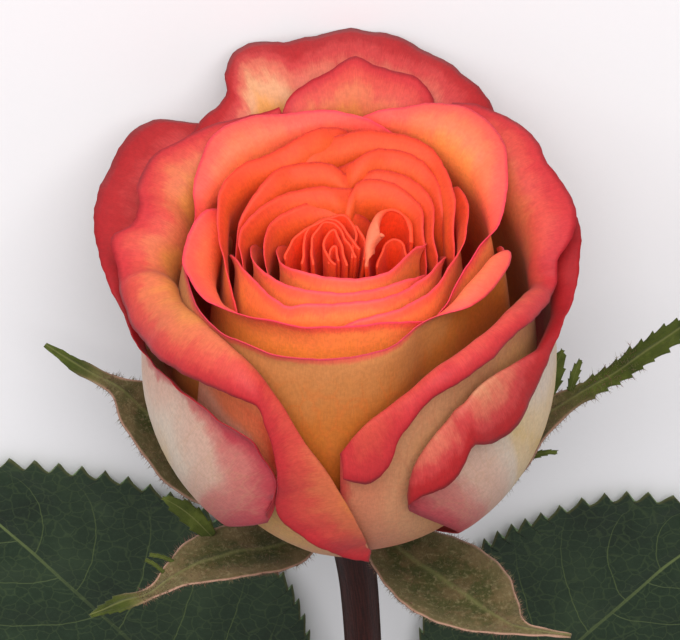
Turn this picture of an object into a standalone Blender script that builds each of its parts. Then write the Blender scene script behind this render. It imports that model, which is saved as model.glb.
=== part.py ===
"""A cut rose with two leaves, lying on its side on a table.

The flower is modelled in its own frame, in millimetres: the origin is where the outer petals leave
the hip, +Z runs up the bloom's axis and -Y is the bloom's front. An azimuth is counted round that
axis from the front, with 90 at +X. An empty then lays the flower down, with its back petals, its
two leaves and the cut end of its stem on the plane Z = 0, and its front facing up.
"""

import math

import bmesh
import bpy
import numpy as np
from mathutils import Matrix, Vector

MM = 0.001

# Bloom: nested cup-shaped layers, each named by its belly radius
BELLY_RADIUS = 32.5
BELLY_HEIGHT = 30.7
MOUTH_HEIGHT = 57.0
MOUTH_SHARE = 0.89
MOUTH_POWER = 1.8
BASE_HEIGHT = -1.8
LAYER_RISE = 0.62
PETAL_THICKNESS = 0.6
CLAW_SPREAD = 34.0
CLAW_SPREAD_SHARE = 0.4
OPENING_POWER = 1.6
OPENING_END = 0.6
CREASE_DROP = 2.5
CREASE_DROP_PER_FLARE = 0.55
INNER_CREASE_DROP = 5.0
INNER_FLARE = 0.9
RIM_HANDLE = 0.36
RIM_HANDLE_PER_TURN = 0.10
RIM_TURN_LIMIT = math.radians(168)
OUTER_COLUMNS = 9
RIM_POINTS_PER_COLUMN = 3
BODY_ROWS = 5
RIM_ROWS = 4
INNER_COLUMNS = 10
INNER_BODY_ROWS = 4
INNER_RIM_ROWS = 2

# Receptacle and hip, which carry the petals and the sepals
RECEPTACLE_RADIUS = 4.5
RECEPTACLE_TAPER = 0.13
SEAT_GAP = 0.3

# Stem and how the flower lies, with the middle of its footprint at the origin
STEM_LENGTH = 170.0
STEM_RADIUS = 3.1
STEM_ROWS = 30
STEM_SIDES = 10
LIE_ANGLE = math.radians(10.0)
LIE_HEIGHT = 32.32
FOOTPRINT_CENTRE = (1.05, 49.975)

# Sepals and leaves
SEPAL_THICKNESS = 0.8
SEPAL_CUP = 0.10
SEPAL_ROWS = 16
SEPAL_COLUMNS = 5
LEAF_THICKNESS = 0.7
LEAF_COLUMNS = 7
PETIOLE_ROWS = 9
PETIOLE_SIDES = 8


def body_radius(layer, height):
    """Radius of a layer's cup at a height."""
    base = BASE_HEIGHT + LAYER_RISE * (BELLY_RADIUS - layer)
    if height < BELLY_HEIGHT:
        depth = (BELLY_HEIGHT - height) / (BELLY_HEIGHT - base)
        return layer * math.sqrt(max(0.0, 1.0 - depth * depth))
    rise = (height - BELLY_HEIGHT) / (MOUTH_HEIGHT - BELLY_HEIGHT)
    return layer * (1.0 - (1.0 - MOUTH_SHARE) * rise ** MOUTH_POWER)


def layer_through(radius, height):
    """The layer whose cup has a radius at a height in its upper half."""
    return radius / body_radius(1.0, height)


def receptacle_radius(height):
    return RECEPTACLE_RADIUS - RECEPTACLE_TAPER * height


def claw_height(layer):
    """Height at which a layer's cup meets the receptacle, or the heart's core above it."""
    for height in np.linspace(BASE_HEIGHT, BELLY_HEIGHT, 300):
        if body_radius(layer, height) > receptacle_radius(height) + SEAT_GAP + PETAL_THICKNESS / 2:
            break
    return float(height)


def smooth_path(points, count):
    """Reads count rows, evenly by length, from a Catmull-Rom curve through the given rows."""
    points = np.asarray(points, float)
    ends = np.vstack([2 * points[0] - points[1], points, 2 * points[-1] - points[-2]])
    fine = []
    for i in range(1, len(ends) - 2):
        before, start, end, after = ends[i - 1], ends[i], ends[i + 1], ends[i + 2]
        for t in np.arange(0.0, 1.0, 0.05):
            fine.append(0.5 * (2 * start + (end - before) * t
                               + (2 * before - 5 * start + 4 * end - after) * t ** 2
                               + (3 * start - before - 3 * end + after) * t ** 3))
    fine.append(points[-1])
    return even_rows(np.array(fine), count)


def even_rows(path, count):
    """Resamples a path to count rows at even steps of length."""
    steps = np.linalg.norm(np.diff(path[:, :3], axis=0), axis=1)
    along = np.concatenate([[0.0], np.cumsum(steps)])
    wanted = np.linspace(0.0, along[-1], count)
    return np.stack([np.interp(wanted, along, path[:, k]) for k in range(path.shape[1])], axis=1)


def path_shares(path):
    """How far along its length each point of a path lies, from 0 to 1."""
    steps = np.linalg.norm(np.diff(path, axis=0), axis=1)
    along = np.concatenate([[0.0], np.cumsum(steps)])
    return along / along[-1]


def around(azimuth, radius, height):
    angle = math.radians(azimuth)
    return np.array([radius * math.sin(angle), -radius * math.cos(angle), height])


def rim_arc(start, lean, end, count):
    """A smooth turn in the (radius, height) plane from a start that leans out by lean to an end."""
    chord = end - start
    length = math.hypot(*chord)
    heading = math.atan2(chord[0], chord[1])
    last = min(2 * heading - lean, RIM_TURN_LIMIT)
    handle = length * (RIM_HANDLE + RIM_HANDLE_PER_TURN * abs(last - lean))
    leave = start + handle * np.array([math.sin(lean), math.cos(lean)])
    arrive = end - handle * np.array([math.sin(last), math.cos(last)])
    t = np.linspace(0.0, 1.0, count)[:, None]
    return ((1 - t) ** 3 * start + 3 * t * (1 - t) ** 2 * leave
            + 3 * t ** 2 * (1 - t) * arrive + t ** 3 * end)


def petal_column(rim, claw, narrow, layer_at, body_rows, rim_rows):
    """Points from the claw to one point of the rim: up the layer's cup, then over its crease."""
    azimuth, radius, height, crease_azimuth, crease_height, layer = rim
    spread = claw + np.clip((crease_azimuth - claw) * CLAW_SPREAD_SHARE, -CLAW_SPREAD, CLAW_SPREAD)
    low = claw_height(layer_at(spread))
    steps = np.linspace(0.0, 1.0, 60)
    heights = low + (crease_height - low) * (1 - np.cos(steps * math.pi / 2))
    profile = np.array([[body_radius(layer, h), h] for h in heights])
    share = path_shares(profile)
    opened = np.sin(np.minimum(1.0, share / OPENING_END) * math.pi / 2)
    if narrow:
        opened = share ** OPENING_POWER
    bearing = spread + (crease_azimuth - spread) * opened
    profile[:, 0] = [body_radius(layer_at(b), h) for b, h in zip(bearing, heights)]
    keep = np.linspace(0.0, 1.0, body_rows + 1)
    points = [around(*(np.interp(k, share, values) for values in (bearing, *profile.T)))
              for k in keep]
    tangent = profile[-1] - profile[-4]
    lean = math.atan2(tangent[0], tangent[1])
    arc = rim_arc(profile[-1], lean, np.array([radius, height]), rim_rows + 1)
    for k in range(1, rim_rows + 1):
        ease = k / rim_rows
        turned = crease_azimuth + (azimuth - crease_azimuth) * ease * ease * (3 - 2 * ease)
        points.append(around(turned, *arc[k]))
    return points


def full_rim(petal):
    """Rim rows with crease and layer filled in: azimuth, radius, height, crease, crease height, layer."""
    rows = []
    count = len(petal["rim"])
    for i, point in enumerate(petal["rim"]):
        azimuth, radius, height = point[:3]
        if "layer" in petal:
            layer = petal["layer"][0] + (petal["layer"][1] - petal["layer"][0]) * i / (count - 1)
            flare = radius - body_radius(layer, height)
            drop = CREASE_DROP + CREASE_DROP_PER_FLARE * max(0.0, flare) + petal.get("early", 0.0)
            crease_height = height - drop
        else:
            crease_height = height - INNER_CREASE_DROP
            layer = layer_through(radius - INNER_FLARE, crease_height)
        crease_azimuth = azimuth
        if len(point) == 5:
            crease_azimuth, crease_height = point[3:]
        rows.append((azimuth, radius, height, crease_azimuth, crease_height, layer))
    return rows


def petal_grid(petal, columns, body_rows, rim_rows):
    """The petal's middle surface as a grid of points: columns from margin to margin, rows to the rim."""
    rim = smooth_path(full_rim(petal), columns)
    claw = (rim[0, 3] + rim[-1, 3]) / 2
    narrow = petal.get("narrow", False)
    order = np.argsort(rim[:, 3])

    def layer_at(bearing):
        return float(np.interp(bearing, rim[order, 3], rim[order, 5]))

    return np.array([petal_column(row, claw, narrow, layer_at, body_rows, rim_rows) for row in rim])


def grid_normals(grid):
    across = np.gradient(grid, axis=0)
    along = np.gradient(grid, axis=1)
    normals = np.cross(across, along)
    return normals / np.maximum(np.linalg.norm(normals, axis=2, keepdims=True), 1e-9)


def sheet_mesh(name, grid, thickness, floor=None):
    """A closed blade round a grid of points, split into triangles alike on both faces.

    What would reach below the floor, if one is given, lies flat on it instead.
    """
    offset = grid_normals(grid) * thickness / 2
    columns, rows = grid.shape[:2]
    points = np.concatenate([(grid + offset).reshape(-1, 3), (grid - offset).reshape(-1, 3)])
    other = columns * rows
    faces = []
    for i in range(columns - 1):
        for j in range(rows - 1):
            a, b = i * rows + j, (i + 1) * rows + j
            c, d = b + 1, a + 1
            for p, q, r in ((a, b, c), (a, c, d)):
                faces.append((p, q, r))
                faces.append((r + other, q + other, p + other))
    loop = [i * rows for i in range(columns)]
    loop += [(columns - 1) * rows + j for j in range(1, rows)]
    loop += [i * rows + rows - 1 for i in range(columns - 2, -1, -1)]
    loop += [j for j in range(rows - 2, 0, -1)]
    for k, p in enumerate(loop):
        q = loop[(k + 1) % len(loop)]
        faces.append((q, p, p + other))
        faces.append((q, p + other, q + other))
    mesh = bpy.data.meshes.new(name)
    mesh.from_pydata((points * MM).tolist(), [], faces)
    mesh.update()
    bm = bmesh.new()
    bm.from_mesh(mesh)
    if bm.calc_volume(signed=True) < 0:
        bmesh.ops.reverse_faces(bm, faces=bm.faces)
    for vertex in bm.verts:
        if floor is not None and vertex.co.z < floor * MM:
            vertex.co.z = floor * MM
    bm.to_mesh(mesh)
    bm.free()
    mesh.shade_smooth()
    return mesh


PETALS = [
    dict(name="petal_outer_left", layer=(32.8, 32.3), narrow=True, rim=[
        (-145, 40.6, 50), (-141, 45.2, 49), (-137, 48.0, 48), (-131, 47.8, 47), (-123, 46.4, 46),
        (-112, 43.4, 46), (-102, 40.2, 46), (-92, 37.2, 45), (-84, 34.6, 42.5), (-72, 33.0, 42),
        (-58, 33.0, 44.5), (-48, 33.4, 46), (-38, 33.8, 45.5), (-31, 34.0, 44),
        (-27, 34.2, 39, -25, 41), (-26, 34.4, 34, -24, 36), (-28, 34.3, 29, -27, 30.5),
        (-33, 33.6, 24, -33, 25)]),
    dict(name="petal_outer_right", layer=(32.3, 32.3), narrow=True, rim=[
        (128, 37.0, 51), (116, 37.5, 50.5), (107, 37.5, 50), (98, 36.2, 49.5), (90, 35.2, 48),
        (80, 34.0, 47, 79, 43), (70, 33.6, 46.5, 68, 45), (63, 33.8, 45.5, 60, 47),
        (55, 34.0, 43, 51, 48), (47, 34.2, 40.5, 44, 48), (41, 34.2, 40, 39, 47.5),
        (36, 34.2, 41.5, 35, 46.5), (33, 34.2, 42, 32, 46), (30, 34.4, 38.5, 29, 44),
        (25, 34.5, 36, 25, 41.5), (17, 34.5, 34, 19, 38), (16, 34.5, 31.5, 18, 33.5),
        (22, 34.4, 29, 22, 30.5), (29, 34.2, 27, 29, 28)]),
    dict(name="petal_outer_back", layer=(31.0, 31.6), rim=[
        (225, 36.3, 54), (219, 36.8, 56), (211, 37.5, 57.5), (208, 41.8, 58), (204, 44.6, 59),
        (198, 44.0, 60), (194, 41.0, 61), (188, 42.2, 61), (180, 43.6, 61), (172, 42.2, 61),
        (164, 41.2, 60.5), (157, 40.0, 60), (150, 38.8, 58.5), (143, 37.6, 56), (138, 36.0, 52)]),
    dict(name="petal_second_left", layer=(29.6, 30.8), rim=[
        (-158, 29.5, 59.5), (-153, 30.3, 58.5), (-144, 32.6, 57.8), (-132, 35.0, 56.4),
        (-125, 38.0, 54), (-118, 37.8, 52), (-112, 35.4, 52), (-106, 35.6, 51), (-102, 38.2, 50),
        (-95, 36.4, 49), (-88, 35.4, 47, -88, 46), (-78, 34.4, 46, -78, 48),
        (-65, 33.5, 48, -64, 51), (-52, 33.0, 50, -52, 52.5), (-42, 32.5, 51, -43, 53),
        (-33, 31.8, 51.5, -35, 52.5), (-27, 31.3, 50.5, -28, 51), (-24, 31.8, 47, -21, 48),
        (-21, 32.4, 42, -14, 43), (-20, 32.8, 36, -6, 36.5), (-20, 32.9, 29, -1, 31),
        (-15, 32.6, 25.5, 2, 26.5), (-8, 31.8, 22, 4, 22), (-1, 30.3, 18, 5.5, 18.5),
        (6, 29.0, 15.5, 7, 16)]),
    dict(name="petal_second_right", layer=(29.9, 29.4), rim=[
        (150, 32.2, 60), (141, 34.6, 59.5), (134, 36.3, 58.5), (126, 36.5, 57.5),
        (120, 35.5, 56.5), (114, 36.3, 55.5), (106, 36.6, 54.5), (99, 35.0, 53),
        (94, 32.4, 51.5), (90, 32.2, 50), (82, 31.6, 50, 82, 49), (72, 30.8, 52, 72, 52),
        (60, 30.2, 54, 59, 54), (48, 30.2, 54, 47, 54.5), (36, 30.2, 53.5, 36, 54),
        (26, 30.4, 52.5, 26, 53), (20, 30.7, 50, 19, 51), (14, 31.2, 46, 12, 48.5),
        (11, 31.8, 41, 6, 46), (5, 32.0, 37, 1, 43), (-2, 31.0, 37.5, -3, 40)]),
    dict(name="petal_second_back", layer=(28.0, 28.4), early=2.5, rim=[
        (203, 27.6, 60), (197, 29.8, 62), (187, 31.2, 63.5), (179, 33.4, 64.5), (173, 32.3, 64),
        (162, 32.4, 63), (156, 31.3, 61.3), (154, 30.2, 59.5)]),
    dict(name="petal_third_back_left", layer=(28.0, 24.6), rim=[
        (246, 26.6, 52), (241, 28.0, 55), (232, 29.7, 57), (225, 30.5, 59), (215, 29.5, 60),
        (203, 26.6, 61), (189, 24.6, 62), (176, 23.0, 62), (164, 22.6, 61)]),
    dict(name="petal_third_back_right", layer=(26.9, 22.4), rim=[
        (176, 25.0, 60.8), (163, 25.7, 62.3), (154, 27.6, 62.9), (145, 29.8, 62.7),
        (139, 31.1, 61.5), (132, 31.3, 60.5), (129, 31.1, 59.5), (122, 28.9, 59),
        (114, 26.8, 58), (108, 25.3, 57), (99, 23.2, 56), (85, 21.6, 55), (67, 20.6, 53.5),
        (52, 20.4, 52)]),
    dict(name="petal_third_left", layer=(26.4, 20.6), rim=[
        (-118, 22.8, 55), (-110, 24.0, 56), (-104, 24.8, 56), (-94, 25.6, 55), (-86, 25.9, 55),
        (-75, 25.4, 55.3), (-67, 24.9, 55.8), (-59, 24.0, 56.6), (-48, 22.4, 57.3),
        (-36, 20.9, 57.7), (-22, 19.6, 58), (-9, 18.4, 58), (13, 17.8, 57.6), (40, 18.4, 56)]),
    dict(name="petal_third_front", layer=(28.4, 27.2), rim=[
        (-68, 26.4, 51), (-58, 26.4, 54), (-47, 26.1, 55.5), (-37, 25.9, 56.5), (-25, 25.6, 57),
        (-12, 25.0, 57.5), (-2, 24.3, 57.5), (8, 23.4, 57.5), (17, 22.9, 57.2), (22, 22.1, 57),
        (30, 21.4, 57.3), (40, 21.2, 57.2), (50, 21.8, 56.5), (58, 22.6, 55.5), (70, 23.5, 54),
        (80, 24.2, 53.2), (90, 25.0, 53), (97, 25.0, 53)]),
    dict(name="petal_inner_01", rim=[
        (-70, 19.3, 53), (-80, 19.5, 55), (-96, 20.2, 57), (-105, 21.2, 58.5), (-110, 22.0, 59.5),
        (-118, 22.0, 60.5), (-128, 21.5, 61), (-136, 20.3, 61.3), (-146, 19.7, 61.5),
        (-155, 19.8, 62), (-166, 20.5, 62.3), (-175, 21.2, 62.3)]),
    dict(name="petal_inner_02", rim=[
        (209, 18.0, 60.5), (204, 18.2, 61), (189, 19.3, 61.3), (172, 20.6, 61.3), (158, 21.4, 61),
        (149, 21.6, 61), (141, 21.2, 60.5), (132, 20.0, 60), (123, 18.9, 60), (115, 17.9, 59.5),
        (106, 16.8, 58.5), (98, 16.0, 57.5)]),
    dict(name="petal_inner_03", rim=[
        (254, 17.9, 57.5), (247, 17.5, 58.2), (238, 17.3, 59), (225, 17.4, 60), (216, 17.2, 60),
        (205, 16.3, 60), (189, 14.6, 60), (182, 13.6, 59.5)]),
    dict(name="petal_inner_04", rim=[
        (181, 15.0, 60.5), (172, 16.3, 60.5), (166, 17.6, 60.5), (156, 18.8, 60.3),
        (143, 18.9, 60), (137, 18.4, 59.5), (126, 17.4, 58.8), (116, 16.3, 58)]),
    dict(name="petal_inner_05", rim=[
        (124, 20.8, 58.5), (118, 20.4, 58), (111, 19.6, 58), (104, 18.7, 58), (95, 17.8, 57.8),
        (83, 16.9, 57.5), (70, 16.3, 57.3), (57, 15.9, 57.2), (40, 15.6, 57.2), (20, 15.6, 57.2),
        (3, 16.0, 57), (-6, 16.3, 56.5)]),
    dict(name="petal_inner_06", rim=[
        (-85, 18.1, 57), (-62, 17.2, 58), (-43, 16.8, 58.2), (-34, 17.0, 58), (-28, 15.8, 58.4),
        (-15, 14.5, 58.5), (-4, 13.6, 58.3), (12, 13.2, 58.2), (28, 13.2, 58), (53, 13.7, 57.6),
        (81, 14.4, 57.3)]),
    dict(name="petal_inner_07", rim=[
        (276, 16.7, 57), (269, 17.1, 57.3), (264, 17.0, 58), (257, 16.5, 58.3), (244, 15.0, 59),
        (228, 13.0, 59.5), (209, 11.4, 59.5), (188, 10.4, 59.5)]),
    dict(name="petal_inner_08", rim=[
        (-90, 15.4, 57.5), (-69, 15.0, 58), (-49, 14.3, 58.3), (-25, 12.4, 58.5), (9, 11.2, 58.3),
        (42, 11.8, 58), (60, 12.3, 57.5)]),
    dict(name="petal_inner_09", rim=[
        (173, 13.8, 59.3), (159, 14.9, 59.3), (139, 15.5, 59), (120, 14.9, 58.3), (99, 13.2, 57.5)]),
    dict(name="petal_inner_10", rim=[
        (-72, 12.9, 55), (-89, 13.2, 57), (-99, 13.2, 57.5), (-109, 12.9, 57.6), (-124, 11.6, 57.8),
        (-142, 10.2, 58), (-160, 8.9, 58), (-170, 8.3, 58)]),
    dict(name="petal_inner_11", rim=[
        (184, 9.2, 58.5), (177, 11.4, 58.5), (165, 12.8, 58.8), (148, 13.4, 58.5), (128, 13.2, 58),
        (110, 12.0, 57.5), (98, 10.8, 57), (85, 9.2, 57)]),
    dict(name="petal_inner_12", rim=[
        (-98, 11.2, 56), (-75, 11.1, 56.5), (-56, 9.9, 57), (-38, 8.6, 57.2), (-15, 7.6, 57.3),
        (10, 7.4, 57.2), (34, 8.0, 57)]),
]


# Heart: the rims of its folded petaloids, one inside another, as (x, y, height)
HEART_CENTRE = np.array([-3.2, 0.0])
HEART_ROOT_HEIGHT = 36.0
HEART_GATHER = 0.5
HEART_SWELL = 0.06
HEART_FOLDS = [
    [(-9.0, -1.6, 55.4), (-9.0, 0.2, 56.0), (-8.4, 2.2, 56.8), (-7.0, 4.3, 57.4), (-4.6, 6.0, 57.8),
     (-1.4, 6.4, 57.8), (0.4, 5.2, 57.4), (1.5, 2.6, 56.6), (2.0, 0.4, 55.8)],
    [(-7.8, -4.0, 54.8), (-7.8, -1.2, 55.8), (-7.2, 1.8, 56.8), (-5.6, 4.2, 57.4), (-3.2, 5.0, 57.6),
     (-1.0, 3.8, 57.2), (0.3, 1.2, 56.4), (1.2, -1.6, 55.4), (1.8, -3.2, 54.6)],
    [(-6.4, -4.8, 54.6), (-6.2, -1.8, 55.6), (-5.6, 0.9, 56.4), (-4.3, 3.2, 57.0), (-3.0, 3.4, 57.0),
     (-1.8, 1.6, 56.4), (-1.0, -1.2, 55.6), (-0.2, -4.2, 54.6)],
    [(-4.9, -4.6, 54.4), (-4.7, -1.8, 55.4), (-4.0, 0.9, 56.0), (-3.0, 1.0, 56.0), (-2.5, -1.2, 55.4),
     (-2.0, -4.2, 54.4)],
]
CURLED_ROOT = np.array([1.6, 0.8])
CURLED_FOLD = [(2.7, -3.2, 54.6), (2.8, -1.0, 55.6), (3.2, 2.2, 56.6), (4.4, 5.2, 57.4), (6.2, 6.4, 57.6),
               (8.2, 5.8, 57.2), (9.0, 3.8, 56.2), (8.8, 1.8, 55.2)]
HEART_CORE = [(0.0, 1.6, 14.6), (0.0, 2.0, 17.0), (-0.5, 3.4, 21.0), (-1.2, 4.3, 27.0),
              (-1.8, 4.6, 32.0), (-2.2, 4.6, 37.0), (-2.6, 3.8, 41.0), (-2.8, 2.2, 43.5)]
HEART_SIDES = 12
HEART_THICKNESS = 0.65
HEART_COLUMNS = 9
HEART_ROWS = 4

# Stem, hip and receptacle: (x, y, height) of the axis and the radius there
STEM_LINE = [
    (-4.0, -0.3, -STEM_LENGTH, STEM_RADIUS), (-3.6, -0.3, -160.0, STEM_RADIUS),
    (-2.0, -0.4, -140.0, STEM_RADIUS), (0.4, -0.5, -116.0, 3.5), (1.4, -0.5, -104.0, 3.6),
    (2.4, -0.6, -92.0, 3.1), (2.8, -0.6, -70.0, 3.0), (2.5, -0.5, -46.0, 3.0),
    (1.6, -0.3, -25.0, 3.1), (0.5, -0.1, -14.0, 3.3), (0.2, 0.0, -11.0, 3.7),
    (0.0, 0.0, -9.0, 4.9), (0.0, 0.0, -6.6, 5.9), (0.0, 0.0, -4.4, 6.0), (0.0, 0.0, -3.0, 5.5),
    (0.0, 0.0, -2.2, 4.7), (0.0, 0.0, 0.0, 4.5), (0.0, 0.0, 6.0, 3.7), (0.0, 0.0, 12.5, 2.7),
    (0.0, 0.0, 14.2, 1.7)]
CUT_SLANT = 0.7
PRICKLES = [(-58.0, 60.0), (-81.0, 250.0), (-128.0, 120.0), (-147.0, 300.0), (-155.0, 40.0)]
PRICKLE_LENGTH = 5.0
PRICKLE_WIDTH = 1.7
PRICKLE_ROOT = 0.9
PRICKLE_TIP = 0.12
PRICKLE_SINK = 1.6

# Sepals: rows of (azimuth, radius, height, half width), and lobes (share, side, reach, forward)
SEPALS = [
    dict(name="sepal_left", lobes=[], roll=10, line=[
        (-106, 6.15, -3.4, 3.0), (-106, 13, -5.2, 5.4), (-107, 20, -5.0, 6.6), (-107.5, 27, -1.8, 6.4),
        (-108, 31.5, 3.0, 5.2), (-108.5, 36.5, 7.6, 3.4), (-109, 40, 10.2, 1.5),
        (-110, 46, 11.6, 1.3), (-112, 53, 12.7, 0.4)]),
    dict(name="sepal_front_left", lobes=[(0.42, 1, 4.0, 2.0), (0.78, -1, 1.6, 2.0)], roll=-6, line=[
        (-50, 6.3, -3.6, 3.0), (-54, 13, -5.0, 5.6), (-59, 20.8, -3.4, 6.4), (-60, 27, -2.6, 5.4),
        (-60, 32, -2.8, 3.0), (-60, 36.5, -4.4, 1.3), (-60, 41.6, -3.8, 1.7), (-60, 47.6, -3.4, 0.4)]),
    dict(name="sepal_front_right", lobes=[], roll=4, line=[
        (40, 6.3, -3.6, 3.4), (43, 12.5, -5.2, 6.6), (45, 20, -5.4, 8.8), (45, 27, -5.0, 8.2),
        (45, 33, -4.6, 5.0), (46, 38, -3.6, 1.6), (51, 45, -3.0, 0.4)]),
    dict(name="sepal_right", lobes=[(0.50, 1, 3.6, 5.5), (0.62, 1, 2.4, 3.0), (0.56, -1, 1.8, 2.0)],
         roll=-8, line=[
        (104, 6.15, -3.4, 3.0), (104, 13, -5.0, 5.4), (104, 21, -3.2, 6.4), (104, 27, 2.6, 5.6),
        (104, 31, 7.6, 3.8), (104, 35, 10.6, 2.4), (104, 40, 13.6, 1.5), (104, 45, 16.7, 1.8),
        (104, 53, 22.7, 1.8), (104, 58, 26.0, 0.4)]),
    dict(name="sepal_back", lobes=[(0.6, 1, 2.0, 2.5)], roll=0, line=[
        (178, 6.1, -3.6, 3.0), (178, 12, -6.6, 5.2), (178, 17, -11, 6.0), (178, 21, -17, 5.0),
        (178, 23, -23, 3.0), (178, 24, -29, 1.3), (178, 23.5, -36, 0.4)]),
]

# Leaves on the table: rows of (x, y, height, half width) and the petiole's (x, y, height, radius)
LEAVES = [
    dict(name="leaf_left", line=[
        (15.0, 85.0, 5.0, 1.2), (18.0, 81.5, 3.6, 11.0), (22.5, 76.0, 2.2, 19.5),
        (31.0, 66.0, 0.9, 26.5), (38.5, 57.0, 0.3, 28.0), (46.5, 47.5, 0.3, 26.0),
        (53.5, 39.0, 0.3, 21.0), (60.0, 31.5, 0.5, 14.0), (65.5, 25.0, 1.0, 7.0),
        (69.5, 20.0, 1.8, 0.5)],
        petiole=[(5.0, 112.0, 13.4, 1.7), (6.8, 107.5, 12.4, 1.3), (10.0, 97.0, 8.8, 1.1),
                 (14.3, 87.0, 5.6, 1.1), (21.0, 78.0, 2.7, 0.9)]),
    dict(name="leaf_right", line=[
        (-17.0, 83.5, 5.0, 1.2), (-20.0, 80.0, 3.6, 10.5), (-25.0, 74.5, 2.2, 18.5),
        (-33.0, 65.5, 0.9, 25.5), (-40.0, 57.5, 0.3, 27.0), (-47.0, 49.5, 0.3, 25.0),
        (-53.0, 42.5, 0.3, 20.5), (-58.5, 37.0, 0.5, 14.0), (-62.0, 33.5, 1.0, 8.0),
        (-65.5, 30.0, 1.8, 0.5)],
        petiole=[(-7.3, 99.5, 15.2, 1.7), (-8.6, 95.5, 13.4, 1.3), (-12.0, 90.0, 9.4, 1.1),
                 (-16.2, 85.0, 5.6, 1.1), (-23.0, 77.0, 2.8, 0.9)]),
]
LEAF_TEETH = 19
LEAF_TOOTH_OUT = 1.43
LEAF_TOOTH_FORWARD = 1.5
LEAF_CUP = 0.123
LEAF_QUILT = 0.35
LEAF_ROWS_PER_VEIN = 6
LEAF_VEIN_SLOPE = 2.2


def fold_grid(rim, centre):
    """A curtain of folded petal: it hangs from its rim and gathers toward a centre in the core."""
    top = smooth_path(rim, HEART_COLUMNS)
    root = top.copy()
    root[:, :2] = centre + (top[:, :2] - centre) * HEART_GATHER
    root[:, 2] = HEART_ROOT_HEIGHT
    share = np.linspace(0.0, 1.0, HEART_ROWS)[None, :, None]
    swell = np.sin(share * math.pi) * HEART_SWELL
    grid = root[:, None] + (top[:, None] - root[:, None]) * share
    grid[..., :2] += (grid[..., :2] - centre) * swell
    return grid


def lofted_mesh(name, rings):
    """A closed body skinned over rings of points."""
    bm = bmesh.new()
    loops = [[bm.verts.new(Vector(p) * MM) for p in ring] for ring in rings]
    for lower, upper in zip(loops, loops[1:]):
        for k in range(len(lower)):
            n = (k + 1) % len(lower)
            bm.faces.new((lower[k], lower[n], upper[n], upper[k]))
    bm.faces.new(list(reversed(loops[0])))
    bm.faces.new(loops[-1])
    bmesh.ops.recalc_face_normals(bm, faces=bm.faces)
    mesh = bpy.data.meshes.new(name)
    bm.to_mesh(mesh)
    bm.free()
    mesh.shade_smooth()
    mesh.set_sharp_from_angle(angle=math.radians(45))
    return mesh


def tube_rings(line, sides):
    """Rings round a path of (x, y, z, radius) rows, each square to the path."""
    line = np.asarray(line, float)
    rings = []
    for i, row in enumerate(line):
        ahead = line[min(i + 1, len(line) - 1)][:3] - line[max(i - 1, 0)][:3]
        ahead /= np.linalg.norm(ahead)
        side = np.cross(ahead, (0.0, 1.0, 0.0) if abs(ahead[1]) < 0.9 else (1.0, 0.0, 0.0))
        side /= np.linalg.norm(side)
        up = np.cross(side, ahead)
        angles = np.arange(sides) * 2 * math.pi / sides
        rings.append([row[:3] + row[3] * (math.cos(a) * side + math.sin(a) * up) for a in angles])
    return rings


def blade_grid(line, across, teeth, cup, quilt, rows, columns):
    """A leaf blade's middle surface: rows along the midrib, columns from edge to edge.

    line holds (x, y, z, half width) rows, across(ahead) gives the sideways direction, teeth(j, side)
    how far a tooth stands out and forward at row j, cup and quilt how far the blade lifts.
    """
    path = smooth_path(line, rows)
    grid = np.zeros((columns, rows, 3))
    for j in range(rows):
        ahead = path[min(j + 1, rows - 1)][:3] - path[max(j - 1, 0)][:3]
        ahead /= np.linalg.norm(ahead)
        side = across(ahead)
        side /= np.linalg.norm(side)
        up = np.cross(side, ahead)
        half = max(path[j][3], 0.3)
        for i in range(columns):
            place = 2.0 * i / (columns - 1) - 1.0
            out, forward = teeth(j, np.sign(place))
            edge = abs(place) ** 3
            sideways = place * half + np.sign(place) * out * edge
            lift = cup(abs(place), half) + quilt(j, place)
            grid[i, j] = path[j][:3] + side * sideways + up * lift + ahead * forward * edge
    return grid


def sepal_grid(sepal, rows, columns):
    line = [(*around(a, r, z), w) for a, r, z, w in sepal["line"]]
    roll = math.radians(sepal["roll"])

    def across(ahead):
        level = np.cross(ahead, (0.0, 0.0, 1.0))
        level /= np.linalg.norm(level)
        return level * math.cos(roll) + np.cross(level, ahead) * math.sin(roll)

    def teeth(j, side):
        for share, lobe_side, reach, forward in sepal["lobes"]:
            if j == round(share * (rows - 1)) and side == lobe_side:
                return reach, forward
        return 0.0, 0.0

    def cup(place, half):
        return SEPAL_CUP * half * place ** 2

    return blade_grid(line, across, teeth, cup, lambda j, place: 0.0, rows, columns)


def leaf_grid(leaf):
    rows = LEAF_TEETH * 2 + 3

    def across(ahead):
        return np.cross(ahead, (0.0, 0.0, 1.0))

    def teeth(j, side):
        share = j / (rows - 1)
        size = math.sin(math.pi * min(1.0, share * 1.1 + 0.08)) if share < 0.93 else 0.1
        if j % 2 == 1:
            return LEAF_TOOTH_OUT * size, LEAF_TOOTH_FORWARD * size
        return 0.0, 0.0

    def cup(place, half):
        return LEAF_CUP * max(0.0, place - 0.25) ** 2 * half

    def quilt(j, place):
        wave = math.sin(2 * math.pi * j / LEAF_ROWS_PER_VEIN + LEAF_VEIN_SLOPE * abs(place))
        return LEAF_QUILT * (0.5 + 0.5 * wave) * max(0.0, abs(place) - 0.2)

    return blade_grid(leaf["line"], across, teeth, cup, quilt, rows, LEAF_COLUMNS)


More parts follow.
